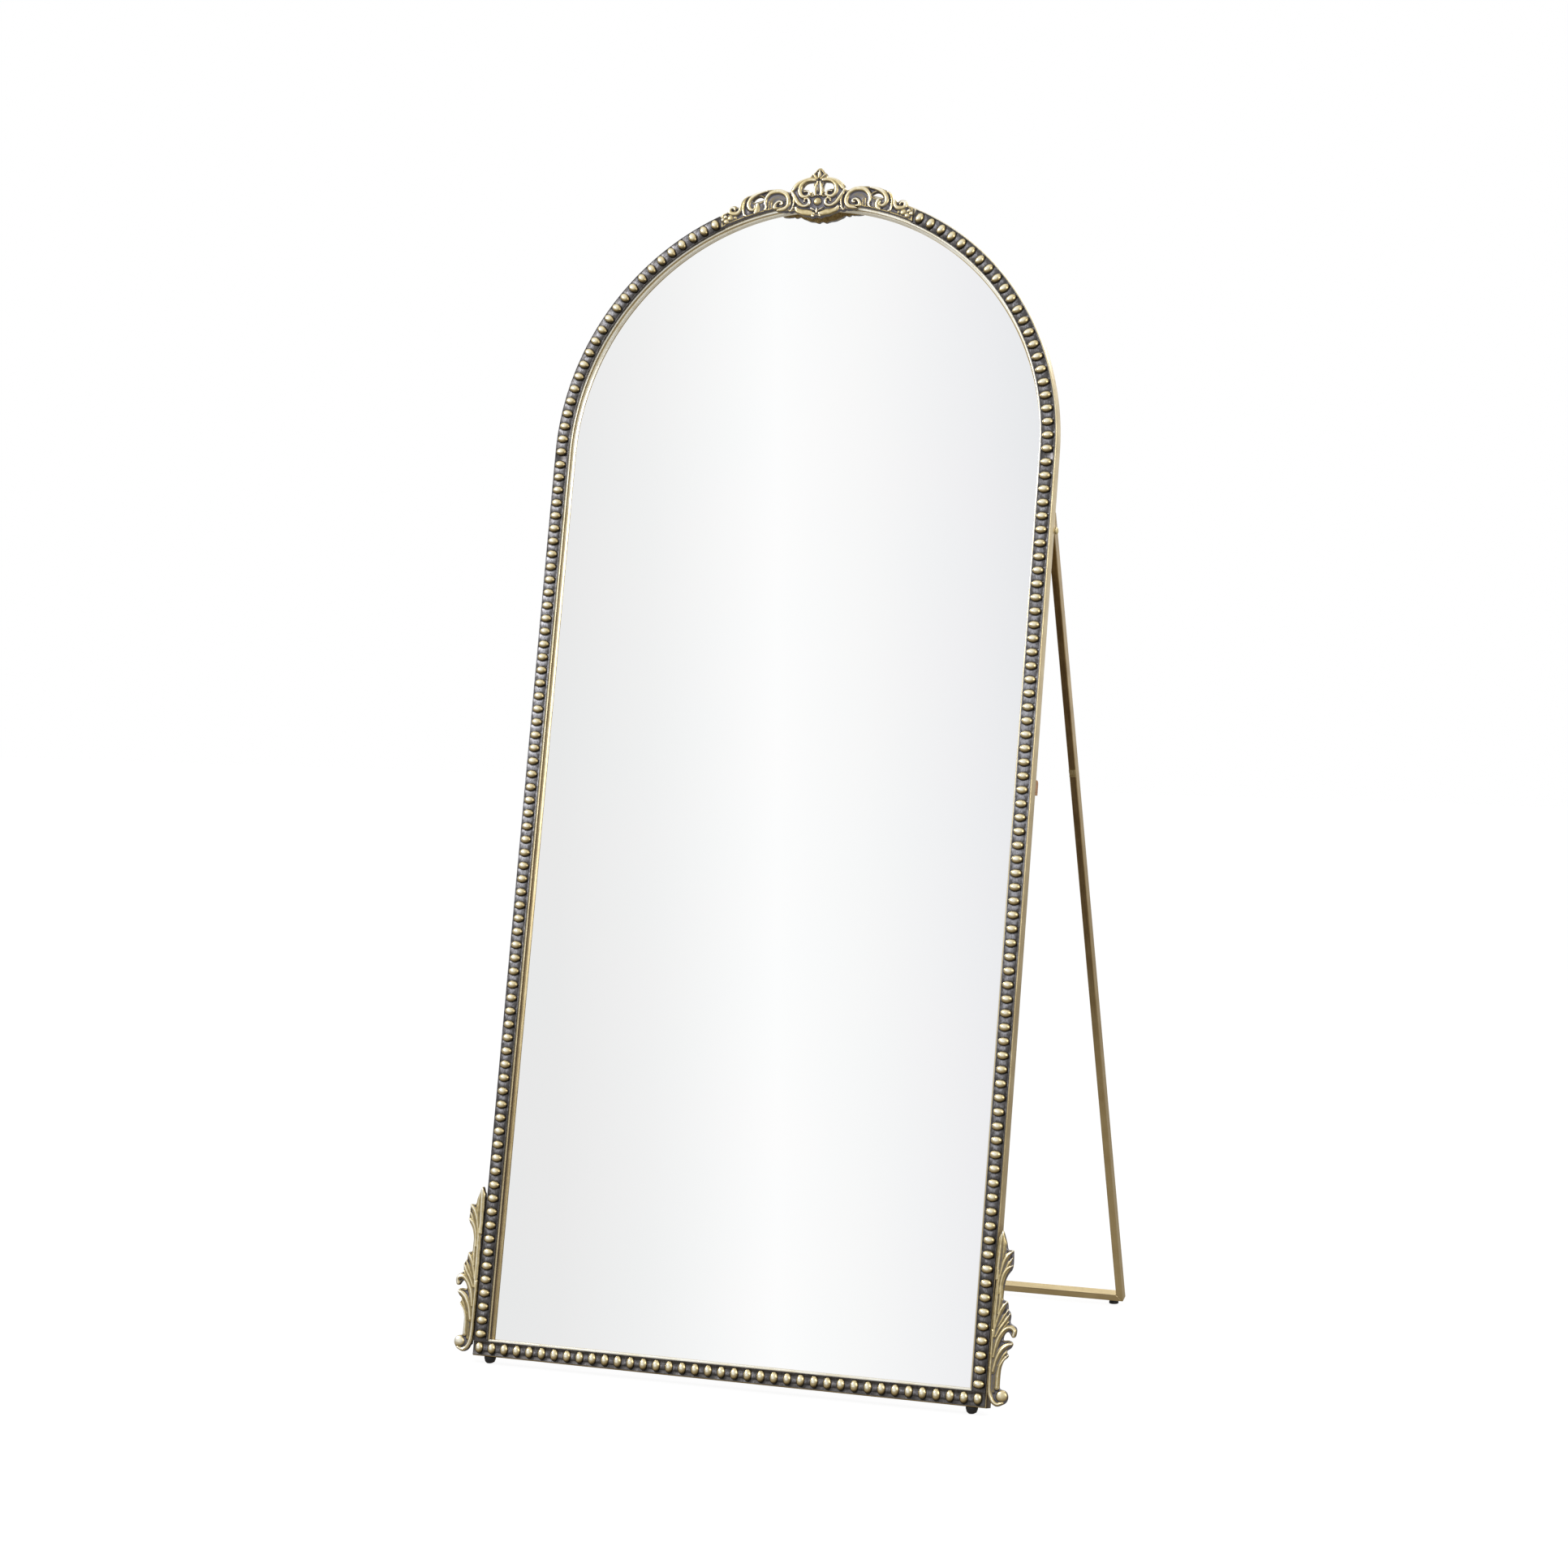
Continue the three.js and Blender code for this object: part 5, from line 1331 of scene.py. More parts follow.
CENTRE_OUTLINE = (
    (0, -1.43), (0.33, -1.53), (0.62, -1.41), (1, -1.36), (1.38, -1.2), (1.62, -1.12), (1.84, -1),
    (2.1, -1.08), (2.32, -0.95), (2.36, -0.4), (2.34, 0), (2.2, 0.78), (1.9, 1.15), (1.5, 1.42), (1.1, 1.57),
    (0.78, 1.66), (0.62, 1.86), (0.4, 2.02), (0.2, 2.27), (0, 2.37),
)
CENTRE_OPENING = (
    (0.4, 0.3), (0.6, 0.3), (0.66, 0.56), (0.92, 0.7), (1.22, 0.74), (1.22, 0.94), (1, 1.16), (0.72, 1.23),
    (0.44, 1.16),
)
CENTRE_BANDS = (
    Band(((0.36, 1.4), (0.7, 1.42), (1.08, 1.31), (1.36, 1.06), (1.48, 0.72), (1.44, 0.4), (1.27, 0.17),
          (1.03, 0.1), (0.78, 0.18), (0.68, 0.4), (0.86, 0.55), (1.1, 0.5)),
         (0.3, 0.34, 0.36, 0.34, 0.34, 0.34, 0.32, 0.28, 0.24, 0.2, 0.14)),
    Band(((0.7, 1.58), (1.1, 1.46), (1.48, 1.25), (1.8, 0.97), (2, 0.68)), (0.16, 0.26, 0.36, 0.42, 0.26)),
    Band(((2.16, 0.6), (1.96, 0.26), (1.76, -0.06), (1.55, -0.36), (1.25, -0.57), (0.98, -0.62),
          (0.72, -0.5), (0.64, -0.26), (0.8, -0.04), (1.02, -0.1)),
         (0.2, 0.3, 0.34, 0.32, 0.28, 0.26, 0.24, 0.2, 0.16)),
    Band(((1.7, -0.72), (1.52, -0.95), (1.2, -1.1), (0.85, -1.14), (0.5, -1.2), (0.28, -1.24)),
         (0.24, 0.42, 0.54, 0.52, 0.46, 0.32)),
    Band(((1.45, -0.74), (1.1, -0.84), (0.72, -0.8)), (0.06, 0.12, 0.06), 0.45),
    Band(((1.5, -0.1), (1.25, -0.3), (0.95, -0.36)), (0.3, 0.5, 0.3), 0.35),
    Band(((1.75, 0.9), (1.72, 0.5), (1.6, 0.2)), (0.3, 0.4, 0.3), 0.3),
    Band(((2.12, 0.28), (1.95, 0), (1.92, -0.4), (2.04, -0.76)), (0.1, 0.14, 0.14, 0.1), 0.8),
    Band(((1.95, -0.72), (2.12, -0.96)), (0.2, 0.16), 0.9),
    Band(((0.16, 1.5), (0.34, 1.7), (0.48, 1.84)), (0.22, 0.24, 0.1), 0.8),
    Band(((0.42, 1.52), (0.64, 1.66)), (0.22, 0.14), 0.7),
    Band(((0.12, -0.98), (0.34, -0.86), (0.52, -0.76)), (0.08, 0.17, 0.08)),
)
CENTRE_SPINE = (
    Band(((0.22, 0.24), (0.27, 0.58), (0.21, 0.95), (0.1, 1.3)), (0.22, 0.28, 0.26, 0.14), 0.85),
    Band(((0, 0.45), (0, 0.8), (0, 1.15)), (0.06, 0.24, 0.06), 0.55),
    Band(((0, 1.6), (0, 1.84), (0, 2.16)), (0.2, 0.32, 0.08), 0.9),
    Band(((0, -0.8), (0, -1.12)), (0.12, 0.2), 0.9),
)
CENTRE_DOMES = (
    Dome(0, -0.25, 0.34, 0.8), Dome(1.05, -0.24, 0.11), Dome(0, 0.22, 0.09, 0.9), Dome(0.24, -1.2, 0.15),
    Dome(0.3, -1.4, 0.13), Dome(0, -1.3, 0.1, 0.6),
)
WING_OUTLINE = (
    (2, 0.4), (2.6, 0.62), (3.15, 0.81), (4.05, 0.8), (4.7, 0.7), (5.35, 0.47), (5.9, 0.18), (6.22, -0.2),
    (6.42, -0.52), (6.7, -0.37), (7.1, -0.45), (7.22, -0.8), (7, -1.35), (6, -1.05), (5, -0.75), (4, -0.5),
    (3, -0.35), (2, -0.2),
)
WING_TIP = ((2, -0.6), (2.35, -0.98), (2.8, -1), (3.26, -0.92), (3.05, -0.76), (2.6, -0.55))
WING_OPENING = ((4.4, 0.1), (4.74, 0.25), (5.06, 0.13), (5.24, -0.14), (4.9, -0.2), (4.55, -0.1))
WING_BANDS = (
    Band(((2.88, -0.46), (2.85, -0.28), (3.08, -0.18), (3.33, -0.34), (3.44, -0.58), (3.3, -0.76),
          (2.98, -0.82), (2.6, -0.74), (2.37, -0.5), (2.34, -0.1), (2.53, 0.3), (2.93, 0.55), (3.43, 0.59),
          (3.88, 0.44), (4.16, 0.1), (4.22, -0.26), (4.14, -0.56), (4.22, -0.8)),
         (0.14, 0.22, 0.26, 0.28, 0.34, 0.38, 0.34, 0.34, 0.36, 0.38, 0.38, 0.36, 0.28, 0.2, 0.18)),
    Band(((2.45, -0.86), (2.85, -0.92), (3.22, -0.9)), (0.2, 0.16, 0.04), 0.5),
    Band(((2.7, 0.05), (3.2, 0.22), (3.7, 0.05), (3.85, -0.4)), (0.4, 0.6, 0.6, 0.4), 0.38),
    Band(((4.5, -0.35), (4.55, -0.75)), (0.3, 0.36), 0.35),
    Band(((5.3, -0.35), (5.5, -0.9)), (0.3, 0.36), 0.35),
    Band(((3.68, -0.25), (3.7, -0.7)), (0.14, 0.16), 0.55),
    Band(((3.9, -0.15), (3.92, -0.75)), (0.14, 0.14), 0.55),
    Band(((4.2, 0.66), (4.73, 0.52), (5.23, 0.27), (5.51, -0.05), (5.58, -0.4), (5.43, -0.7), (5.18, -0.78),
          (5.02, -0.64), (5.08, -0.46)), (0.16, 0.28, 0.36, 0.36, 0.32, 0.28, 0.22, 0.16)),
    Band(((4.88, -0.32), (4.84, -0.6), (4.9, -0.88), (5.02, -1.04)), (0.24, 0.42, 0.44, 0.2)),
    Band(((5.58, 0.3), (5.86, 0.04), (6, -0.36), (6, -0.76), (5.9, -1.16)),
         (0.1, 0.18, 0.2, 0.22, 0.18), 0.85),
    Band(((5.66, 0.34), (6.02, 0.04), (6.2, -0.36), (6.26, -0.76), (6.48, -1), (6.86, -1.02), (7.08, -0.86),
          (7.02, -0.62), (6.78, -0.58), (6.66, -0.74)),
         (0.12, 0.22, 0.24, 0.3, 0.4, 0.36, 0.26, 0.22, 0.16)),
)
WING_DOMES = (
    Dome(2.98, -0.42, 0.13), Dome(4.18, -0.42, 0.1), Dome(4.2, -0.74, 0.13), Dome(5.8, -1.2, 0.14),
    Dome(6.98, -1.36, 0.3), Dome(7.3, -1.62, 0.26), Dome(7.4, -1.28, 0.2), Dome(7.6, -1.48, 0.2),
    Dome(6.6, -1.34, 0.16, 0.8),
)


@dataclass
class ScrollCrest:
    """Cast crest over the arch: a pierced centre and two scrolled wings, in one continuous relief.

    Attributes:
        datum: height of the crown of the bead line.
        joint: half width of the centre piece, in modules.
        end: half width of the whole crest, in modules.
        inner: inner radius of the arched base, mm.
        outer: outer radius of the arched base, mm.
        bead_radius: from the middle of the arch to the crown of the bead line, mm.
        relief: how the casting is modelled.
    """

    datum: float = ARCH_CENTRE + BEAD_RADIUS
    joint: float = 2.2
    end: float = 7.73
    inner: float = 351.6
    outer: float = 370.0
    bead_radius: float = BEAD_RADIUS
    relief: Relief = field(default_factory=lambda: Relief(back=-SEAT, plate=-3.9, rise=4.2, swell=1.3))

    def reach(self, spots: Points) -> np.ndarray:
        """Distance into the crest: in one of its outlines or its arched base, and out of its openings."""
        sided = np.column_stack([np.abs(spots[:, 0]), spots[:, 1]])
        mirrored = [(-x, z) for x, z in CENTRE_OUTLINE[1:-1]]
        centre = CENTRE_OUTLINE + tuple(mirrored[::-1])
        body, tip, lobe, *holes = (
            inside_distance(sided, smooth_line(outline, 4, closed=True))
            for outline in (centre, WING_OUTLINE, WING_TIP, CENTRE_OPENING, WING_OPENING)
        )
        radius = np.hypot(sided[:, 0], sided[:, 1] + self.bead_radius / MODULE)
        arched = np.minimum(radius - self.inner / MODULE, self.outer / MODULE - radius)
        solid = np.maximum.reduce([body, tip, lobe, arched])
        return np.minimum.reduce([solid, -holes[0], -holes[1], self.end - sided[:, 0]])

    def height(self, spots: Points) -> np.ndarray:
        """Relief of all bands and domes, laid out for one side and mirrored."""
        sided = np.column_stack([np.abs(spots[:, 0]), spots[:, 1]])
        return self.relief.height(sided, CENTRE_BANDS + CENTRE_SPINE + WING_BANDS, CENTRE_DOMES + WING_DOMES)

    def place(self, spots: Points) -> Points:
        """Modules from the crown to mm."""
        return spots * MODULE + np.array([0, self.datum])

    def build(self, finishes: Finishes) -> None:
        """Makes the centre and the two wings."""
        parts = {
            "crest_centre": ((-self.joint, self.joint), (-1.8, 2.45)),
            "crest_wing_left": ((-self.end - 0.05, -self.joint), (-2.2, 0.95)),
            "crest_wing_right": ((self.joint, self.end + 0.05), (-2.2, 0.95)),
        }
        materials = [finishes.cast, finishes.cast_back]
        for node, (x_range, z_range) in parts.items():
            solid = self.relief.solid(x_range, z_range, self.reach, self.height, self.place)
            make_piece(f"scroll_{node}", [solid], CASTINGS, materials, node, crease=60.0)


# ------------------------------------------------------------------ corner leaves


LEAF_LOBES = (
    Band(((0.18, 8.4), (0.25, 10), (0.3, 11.2), (0.38, 11.85)), (0.32, 0.42, 0.48, 0.06)),
    Band(((0.3, 8), (0.52, 9.3), (0.78, 10), (1.18, 10.42)), (0.32, 0.46, 0.46, 0.12)),
    Band(((0.42, 7.4), (0.56, 8.5), (0.84, 9.1), (1.22, 9.4)), (0.35, 0.48, 0.44, 0.12)),
    Band(((0.25, 4.4), (0.26, 6.2), (0.3, 8), (0.26, 9)), (0.38, 0.44, 0.42, 0.21)),
    Band(((0.46, 6), (0.52, 7), (0.5, 8.3)), (0.42, 0.44, 0.32)),
    Band(((0.3, 5), (0.52, 5.95), (0.76, 6.5), (1.02, 6.86)), (0.38, 0.44, 0.4, 0.12)),
    Band(((0.38, 4.4), (0.66, 5), (0.99, 5.5), (1.28, 6.04)), (0.34, 0.44, 0.44, 0.1)),
    Band(((0.32, 3), (0.48, 4), (0.76, 4.62), (1.1, 5.02), (1.44, 5.1), (1.7, 4.9), (1.66, 4.56)),
         (0.42, 0.46, 0.4, 0.35, 0.28)),
    Band(((0.36, 2), (0.56, 2.9), (0.88, 3.52), (1.24, 3.86), (1.54, 3.98)), (0.46, 0.48, 0.42, 0.21)),
    Band(((0.72, 0.9), (0.74, 1.8), (0.88, 2.5), (1.32, 3.16)), (0.38, 0.42, 0.38, 0.12)),
    Band(((0.14, 4.8), (0.16, 3), (0.16, 1.6), (0.22, 0.6), (0.42, 0.02), (0.8, -0.24), (1.2, -0.12)),
         (0.32, 0.35, 0.34, 0.32, 0.25)),
    Band(((0.42, 8.8), (0.52, 10), (0.52, 10.9), (0.42, 11.6)), (0.2, 0.4, 0.36, 0.06), 0.85),
    Band(((0.6, 8.6), (0.9, 9.4), (1.18, 9.92)), (0.3, 0.4, 0.1), 0.9),
    Band(((0.5, 5.1), (0.85, 5.75), (1.14, 6.32)), (0.3, 0.38, 0.1), 0.85),
    Band(((0.55, 4.3), (0.92, 5.0), (1.25, 5.5)), (0.3, 0.36, 0.1), 0.85),
    Band(((0.7, 2.4), (1.0, 3.05), (1.28, 3.5)), (0.3, 0.36, 0.12), 0.8),
    Band(((0.45, 0.6), (0.46, 1.6), (0.5, 2.6)), (0.26, 0.32, 0.2), 0.65),
)
LEAF_DOMES = (Dome(1.12, 0.32, 0.45, 1.25),)
LEAF_WEB = (
    (0.02, 11), (0.02, 8), (0.02, 4), (0.03, 0.6), (0.19, 0.1), (0.36, -0.2), (0.6, -0.36), (0.82, -0.4),
    (1.08, -0.3), (1.4, -0.1), (1.54, 0.2), (1.5, 0.52), (1.3, 0.74), (0.92, 0.84), (0.86, 1.2), (0.87, 2.1),
    (0.96, 2.55), (1.1, 2.84), (1.37, 3.12), (1.22, 3.45), (1.5, 3.7), (1.63, 3.96), (1.55, 4.15),
    (1.3, 4.24), (0.93, 4.22), (0.96, 4.55), (1.08, 4.73), (1.22, 4.8), (1.35, 4.73), (1.5, 4.5),
    (1.65, 4.44), (1.79, 4.55), (1.85, 4.85), (1.83, 5.08), (1.7, 5.24), (1.34, 5.46), (1.35, 5.9),
    (1.26, 6.2), (1.12, 6.35), (1.1, 6.6), (1, 6.92), (0.71, 7.02), (0.67, 7.3), (0.72, 8.1), (0.82, 8.52),
    (0.98, 8.84), (1.24, 9.3), (1.22, 10.36), (1.12, 10.5), (0.81, 10.52), (0.68, 10.96), (0.45, 11.6),
    (0.28, 11.85), (0.14, 11.5),
)


@dataclass
class CornerLeaf:
    """Acanthus leaf up the outer side of a bottom corner, held by three weld tabs.

    Attributes:
        half_width: outer face of the stiles.
        datum: height of the bottom row of beads.
        tabs: heights of the weld tabs, in modules.
        tab_size: their length out from the stile, and their height, mm.
        tab_depth: depths of their front and back, mm.
        relief: how the casting is modelled.
    """

    half_width: float = HALF_WIDTH
    datum: float = BEAD_INSET
    tabs: tuple = (0.6, 5.85, 10.2)
    tab_size: tuple = (5.5, 4.5)
    tab_depth: tuple = (-1.5, 6.0)
    relief: Relief = field(default_factory=lambda: Relief(
        back=1.0, plate=-1.7, rise=3.8, rim_width=0.14, rim_share=0.32, swell=1.16, groove=0.2, cell=0.45))

    def reach(self, spots: Points) -> np.ndarray:
        """Distance into the leaf's outline."""
        return inside_distance(spots, smooth_line(LEAF_WEB, 3, closed=True))

    def height(self, spots: Points) -> np.ndarray:
        """Relief of the lobes and the ball."""
        return self.relief.height(spots, LEAF_LOBES, LEAF_DOMES)

    def tab(self, side: int, height: float) -> Solid:
        """Small block from the stile to the back of the leaf."""
        length, tall = self.tab_size
        near, far = self.tab_depth
        low = self.datum + height * MODULE - tall / 2
        high = low + tall
        outline = fillet([(near, low, 0.5), (far, low, 0.5), (far, high, 0.5), (near, high, 0.5)], 2)
        ends = sorted((side * (self.half_width + SEAT), side * (self.half_width + length)))
        return Solid(*prism(outline, *ends), wear_and_shade=0.9)

    def build(self, finishes: Finishes) -> None:
        """Makes both leaves; the right one gets painted shade, a little darker, as though further from the
        light.
        """
        for name, side in SIDES.items():
            def place(spots: Points, side: int = side) -> Points:
                """Modules from the stile and the bead row to mm."""
                across, up = spots.T * MODULE
                return np.column_stack([side * (self.half_width + across), self.datum + up])

            # painted light and shade: the left leaf's tone is lifted, the right one's lowered, and light
            # paints their flanks
            lift = 0.05 - 0.08 * side
            leaf = self.relief.solid((0.0, 1.95), (-0.5, 12.0), self.reach, self.height, place, side, lift)
            solids = [leaf] + [self.tab(side, height) for height in self.tabs]
            make_piece(f"acanthus_leaf_{name}", solids, CASTINGS, [finishes.cast, finishes.cast_back],
                       f"corner_leaf_{name}", crease=60.0)


# ------------------------------------------------------------------ stand


@dataclass
class FoldingStand:
    """U of rectangular tube: two legs and a crossbar, mitred together, with a strike plate on each leg.

    Attributes:
        outer: outer faces of the legs.
        width: of the tube, across.
        depth: of the tube, front to back.
        length: from the hinge line to the underside of the crossbar.
        top: leg above the hinge line.
        opening: angle between legs and mirror, degrees.
        joint: gap of a mitre.
        polish: wear of the front and sides, of the back, and of the crossbar.
    """

    outer: float = HALF_WIDTH
    width: float = 10.0
    depth: float = 15.0
    length: float = LEG_LENGTH
    top: float = 24.0
    opening: float = LEAN + STAND_FRAME.tilt
    joint: float = 0.1
    polish: tuple = (0.55, 0.88, 0.85)

    def leg(self, side: int) -> Solid:
        """Side view carried across the tube's width, its foot mitred and worn paler than its top."""
        half = self.depth / 2
        turn = math.radians(self.opening)
        angle = np.linspace(math.pi - turn, math.pi, 7)
        cut = (self.top * math.sin(turn) - half) / math.cos(turn)
        outline = np.concatenate([
            [[half, -self.length], [half, self.top], [cut, self.top]],
            np.column_stack([half * np.cos(angle), half * np.sin(angle)]), [[-half, -self.length]],
        ])
        points, faces = prism(outline, side * (self.outer - self.width), side * self.outer)
        low = points[:, 2] < 1 - self.length
        points[low, 2] += self.outer - np.abs(points[low, 0]) + self.joint
        return Solid(points, faces, wear_and_shade=np.where(points[:, 2] < -half, self.polish[1], self.polish[0]))

    def crossbar(self) -> Solid:
        """Tube along X, its ends mitred: the upper face ends one width further in."""
        half, low = self.depth / 2, -self.length
        outline = np.array([(-half, low), (half, low), (half, low + self.width), (-half, low + self.width)])
        points, faces = prism(outline, -self.outer, self.outer)
        points[:, 0] -= np.sign(points[:, 0]) * (points[:, 2] - low + self.joint)
        return Solid(points, faces, wear_and_shade=self.polish[2])

    def build(self, finishes: Finishes) -> None:
        """Makes the tubes and dresses the strike plates."""
        make_piece("stand_foot_bar", [self.crossbar()], STAND_TUBES, [finishes.crossbar],
                   "stand_crossbar", bevel=0.9)
        for name, side in SIDES.items():
            make_piece(f"stand_tube_{name}", [self.leg(side)], STAND_TUBES, [finishes.leg],
                       f"stand_leg_{name}", bevel=0.9)
            dress(f"latch_plate_{name}", finishes.plated)


# ------------------------------------------------------------------ feet and hardware


@dataclass
class FloorGlides:
    """Moulded glides: tapered ones under the frame, ball-shaped ones under the stand.

    Attributes:
        front: distance from the middle, radius and height of the front glides.
        front_depth: of their middle, behind the front of the bars.
        rear: distance from the middle, radius and height of the rear glides.
        stand_length: from the hinge line down to their seat.
        stud: radius and height of the stud in the bar.
    """

    front: tuple = (349.0, 8.2, 14.0)
    front_depth: float = 10.0
    rear: tuple = (355.0, 7.1, 13.0)
    stand_length: float = LEG_LENGTH
    stud: tuple = (2.4, 5.0)

    def glide(self, profile: Sequence[tuple], centre: Sequence[float], kind: Kind) -> Solid:
        """Turned body and stud, cut level with the floor by holding its lowest points there."""
        radius, height = self.stud
        stud = [(0, height), (radius, height), (radius, -SEAT)]
        points, faces = lathe([*stud, *profile, (0, profile[-1][1])], centre, 32)
        floor = kind.place.world(points)[:, 2]
        points[:, 2] += np.maximum(0.0, -floor) / (METRES * math.cos(math.radians(kind.place.tilt)))
        return Solid(points, faces)

    def build(self, finishes: Finishes) -> None:
        """Makes the four glides."""
        front_x, r, h = self.front
        taper = [(0.97 * r, -SEAT), (r, -1.0), (0.98 * r, -0.2 * h), (0.8 * r, -0.5 * h), (0.52 * r, -h)]
        rear_x, round_r, round_h = self.rear
        angles = np.linspace(0.28, 0.86, 8) * math.pi
        ball = [(round_r * math.sin(a), round_h * (0.5 * math.cos(a) - 0.48)) for a in angles]
        ball.insert(0, (0.72 * round_r, -SEAT))
        for name, side in SIDES.items():
            for end, profile, centre, kind in (
                ("front", taper, (side * front_x, self.front_depth, 0.0), FRONT_GLIDES),
                ("rear", ball, (side * rear_x, 0.0, -self.stand_length), REAR_GLIDES),
            ):
                solid = self.glide(profile, centre, kind)
                make_piece(f"{end}_glide_{name}", [solid], kind, [finishes.rubber], f"foot_{end}_{name}",
                           crease=50.0)


@dataclass
class LatchesAndFixings:
    """Latch blocks on the frame, hinge parts, board clips and screws.

    Attributes:
        hinge_height: up the mirror to the hinge line.
        distance: from the hinge line to the latch blocks.
        centre_x: from the middle of the mirror to theirs.
        width: of a block, across.
        neck: depths of its ends, and half its height.
        head: depth of its back, and half its height.
    """

    hinge_height: float = 1167.0
    distance: float = 350.0
    centre_x: float = 366.5
    width: float = 8.0
    neck: tuple = (20.3, 24.3, 6.0)
    head: tuple = (33.8, 10.0)

    def block(self, side: int) -> Solid:
        """Side view of neck and head, its upper back corner rounded, carried across its width."""
        middle = self.hinge_height - self.distance
        foot, shoulder, slim = self.neck
        back, tall = self.head
        outline = fillet([
            (foot, middle - slim, 0), (shoulder, middle - slim, 0), (shoulder, middle - tall, 0.8),
            (back, middle - tall, 1.0), (back, middle + tall, 5.0), (shoulder, middle + tall, 0.8),
            (shoulder, middle + slim, 0), (foot, middle + slim, 0),
        ], 4)
        x = side * self.centre_x
        return Solid(*prism(outline, x - self.width / 2, x + self.width / 2))

    def build(self, finishes: Finishes) -> None:
        """Makes the latch blocks and dresses the fixings."""
        for name, side in SIDES.items():
            make_piece(f"latch_catch_{name}", [self.block(side)], LATCHES, [finishes.latch],
                       f"latch_block_{name}", crease=40.0, bevel=0.6)
        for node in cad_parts:
            if node.startswith(("board_clip", "clip_screw", "bracket_screw")):
                dress(node, finishes.zinc)
            elif node.startswith("hinge_"):
                dress(node, finishes.plated)


# ------------------------------------------------------------------ camera and studio


@dataclass(frozen=True)
class PhotoCamera:
    """The photograph's viewpoint, in metres."""

    location: tuple = (1.6745, -4.34198, 1.1655)
    forward: tuple = (-0.36625, 0.92696, -0.08133)
    up: tuple = (-0.03026, 0.07549, 0.99668)
    lens: float = 76.03

    def axes(self) -> tuple[Vector, Vector, Vector]:
        """Right, up and forward directions."""
        forward, up = Vector(self.forward).normalized(), Vector(self.up).normalized()
        return forward.cross(up).normalized(), up, forward

    def build(self) -> None:
        """Makes the scene's camera."""
        data = bpy.data.cameras.new("photo_camera")
        data.lens = self.lens
        data.sensor_width = 36.0
        camera = bpy.data.objects.new("photo_camera", data)
        bpy.context.scene.collection.objects.link(camera)
        right, up, forward = self.axes()
        turn = Matrix((right, up, -forward)).transposed().to_4x4()
        camera.matrix_world = Matrix.Translation(self.location) @ turn
        bpy.context.scene.camera = camera


@dataclass(frozen=True)
class SoftLamp:
    """A large soft lamp: where it stands, where it looks, its size in metres and its power."""

    name: str
    location: tuple
    target: tuple
    size: float
    power: float

    def build(self) -> None:
        """Adds the lamp."""
        data = bpy.data.lights.new(self.name, "AREA")
        data.shape = "DISK"
        data.size = self.size
        data.energy = self.power
        lamp = bpy.data.objects.new(self.name, data)
        bpy.context.scene.collection.objects.link(lamp)
        aim = Vector(self.target) - Vector(self.location)
        turn = aim.to_track_quat("-Z", "Y").to_matrix().to_4x4()
        lamp.matrix_world = Matrix.Translation(self.location) @ turn


WHITE = linear("#FFFFFF")
SOFT_GREY = linear("#DDDDDF")
FLOOR_GREY = linear("#F4F4F4")
FLOOR_REFLECTED = linear("#989083")
WALL_OF_LIGHT = (
    (0.0, "#EAEAEA"), (0.16, "#ECECEC"), (0.3, "#F3F3F3"), (0.49, "#FFFFFF"), (0.62, "#FAFAFA"),
    (0.8, "#F0F0F2"), (0.92, "#E8E9EB"), (1.0, "#E7E8EA"),
)
ROOM_BY_HEIGHT = ((0.0, "#B8B8BA"), (0.2, "#BEBEC0"), (0.5, "#D8D8DA"), (0.75, "#FFFFFF"), (1.0, "#FFFFFF"))


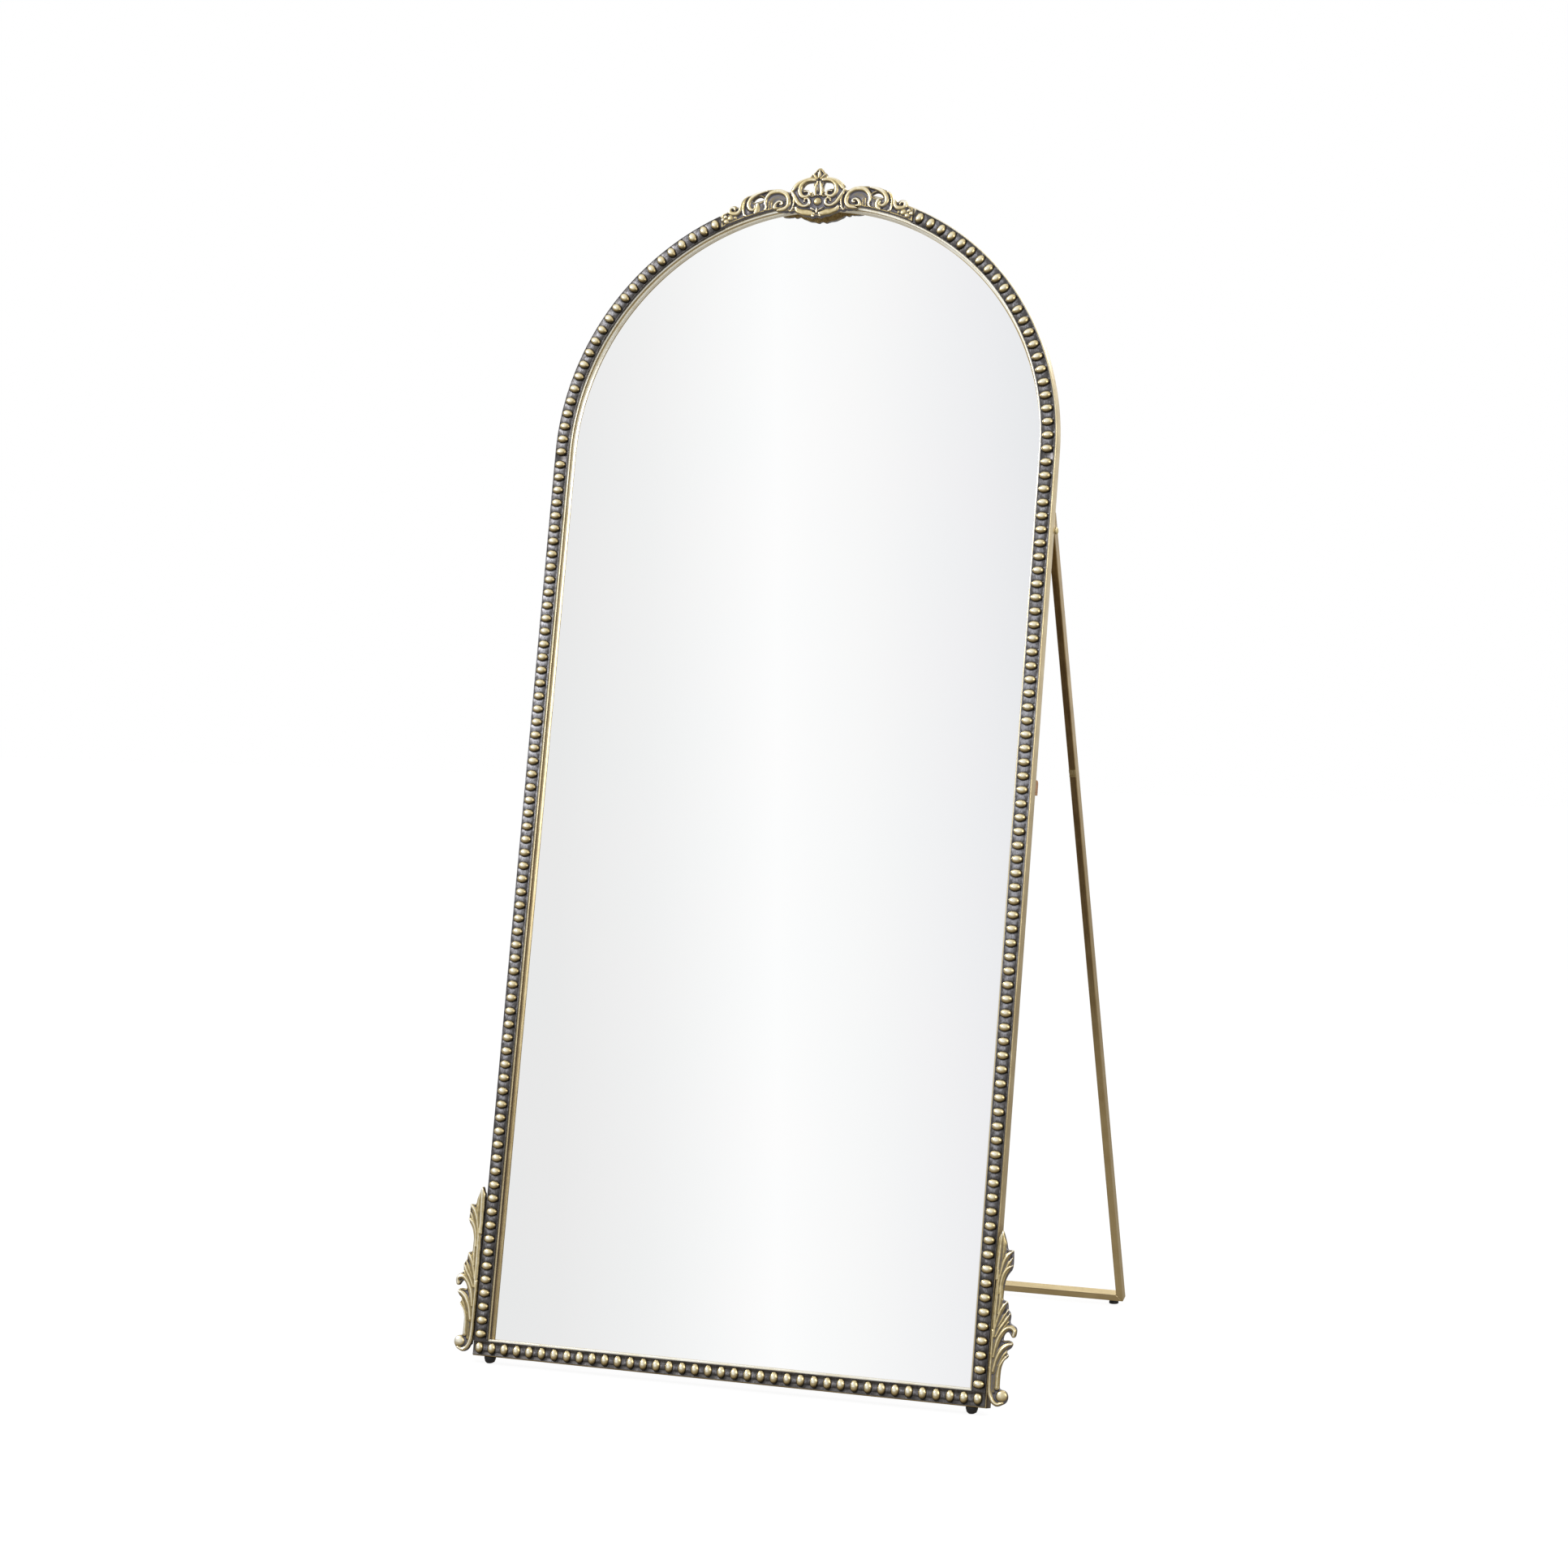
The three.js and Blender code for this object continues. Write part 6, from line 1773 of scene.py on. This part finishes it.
@dataclass
class Studio:
    """White room: pale floor, soft lamps, and a wall of light before the mirror, whitest at its middle.

    Attributes:
        camera: the camera.
        lamps: the soft lamps.
        floor_half: half the floor's width, metres.
        floor_level: just under the feet, metres.
        floor_glow: strength that makes the floor white to the camera.
        floor_share: how much of that glow shows; the rest takes light and shadow.
        wall_half: slope at which the wall of light ends on both sides.
        wall_facing: share of forward between which reflections go from the room to the wall.
        room_rise: upward shares of direction that the room's colours lie between.
        room_back: backward shares of direction between which the room turns white.
    """

    camera: PhotoCamera
    lamps: tuple = (
        SoftLamp("key_lamp", (-2.8, -1.8, 2.8), (0, 0, 0.8), 1.4, 55.0),
        SoftLamp("fill_lamp", (2.9, -1.2, 1.8), (0, 0, 0.8), 1.6, 30.0),
        SoftLamp("back_lamp", (0.6, 2.4, 2.6), (0, 0, 0.9), 1.6, 30.0),
    )
    floor_half: float = 9.0
    floor_level: float = -0.0005
    floor_glow: float = 1.07
    floor_share: float = 0.85
    wall_half: float = 0.1
    wall_facing: tuple = (0.7, 0.9)
    room_rise: tuple = (-0.1, 0.9)
    room_back: tuple = (0.3, 0.7)

    def world(self) -> None:
        """White behind everything; reflections see a wall of light that falls off beside a bright line.

        The wall's place is the direction's slope along a sideways axis, s = (d . a) / (d . b), where a and b
        are level and forward axes turned over by the tilted mirror, so the bright line stands upright in it.
        """
        world = bpy.data.worlds.new("white_room")
        bpy.context.scene.world = world
        world.use_nodes = True
        tree = world.node_tree
        tree.nodes.clear()
        lit_side = math.radians(LEAN)
        normal = Vector((0, -math.cos(lit_side), math.sin(lit_side)))
        right, _, forward = self.camera.axes()
        direction = add(tree, "TexCoord").outputs["Generated"]
        sideways, ahead = (axis - 2 * axis.dot(normal) * normal for axis in (right, forward))
        across, along = (
            add(tree, "VectorMath", {0: direction, 1: axis}, operation="DOT_PRODUCT").outputs["Value"]
            for axis in (sideways, ahead)
        )
        slope = add(tree, "Math", {0: across, 1: along}, operation="DIVIDE").outputs[0]
        wall = ramp(tree, mapped(tree, slope, -self.wall_half, self.wall_half, 0, 1), WALL_OF_LIGHT)
        _, depth, height = add(tree, "SeparateXYZ", {0: direction}).outputs
        room = ramp(tree, mapped(tree, height, *self.room_rise, 0, 1), ROOM_BY_HEIGHT)
        around = blended(tree, mapped(tree, depth, *self.room_back, 0, 1), room, WHITE)
        reflected = blended(tree, mapped(tree, along, *self.wall_facing, 0, 1), around, wall)
        path = add(tree, "LightPath").outputs
        plain = total(tree, path["Is Camera Ray"], path["Is Transmission Ray"], clamp=True)
        shown = blended(tree, plain, blended(tree, path["Is Glossy Ray"], SOFT_GREY, reflected), WHITE)
        background = add(tree, "Background", {0: shown, 1: 1.0})
        add(tree, "OutputWorld", {0: background.outputs[0]})

    def floor(self) -> None:
        """Large pale floor: white to the camera but for part of the shadow, dimmer in reflections."""
        material = bpy.data.materials.new("pale_studio_floor")
        material.use_nodes = True
        tree = material.node_tree
        tree.nodes.clear()
        diffuse = add(tree, "BsdfDiffuse", {0: FLOOR_GREY}).outputs[0]
        path = add(tree, "LightPath").outputs
        tone = blended(tree, path["Is Glossy Ray"], WHITE, FLOOR_REFLECTED)
        glow = add(tree, "Emission", {0: tone, 1: self.floor_glow}).outputs[0]
        seen = total(tree, path["Is Camera Ray"], path["Is Glossy Ray"], clamp=True)
        share = add(tree, "Math", {0: seen, 1: self.floor_share}, operation="MULTIPLY").outputs[0]
        mixed = add(tree, "MixShader", {0: share, 1: diffuse, 2: glow}).outputs[0]
        add(tree, "OutputMaterial", {0: mixed})
        half, level = self.floor_half, self.floor_level
        corners = [(-half, -half, level), (half, -half, level), (half, half, level), (-half, half, level)]
        mesh = bpy.data.meshes.new("studio_floor")
        mesh.from_pydata(corners, [], [(0, 1, 2, 3)])
        mesh.materials.append(material)
        floor = bpy.data.objects.new("studio_floor", mesh)
        bpy.context.scene.collection.objects.link(floor)

    def build(self) -> None:
        """Makes room, floor and lamps, and sets a plain view transform."""
        self.world()
        self.floor()
        for lamp in self.lamps:
            lamp.build()
        bpy.context.scene.view_settings.view_transform = "Standard"


# ------------------------------------------------------------------ everything in order


def main() -> None:
    """Builds camera, studio and every sub-assembly, logging each one when it is done."""
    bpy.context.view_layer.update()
    camera = PhotoCamera()
    camera.build()
    Studio(camera).build()
    finishes = Finishes()
    for assembly in (
        ArchedFrame, ArchedGlass, BeadedTrim, ScrollCrest, CornerLeaf, FoldingStand, FloorGlides,
        LatchesAndFixings,
    ):
        assembly().build(finishes)
        LOG.info("%s done", assembly.__name__)


if __name__ == "__main__":
    main()
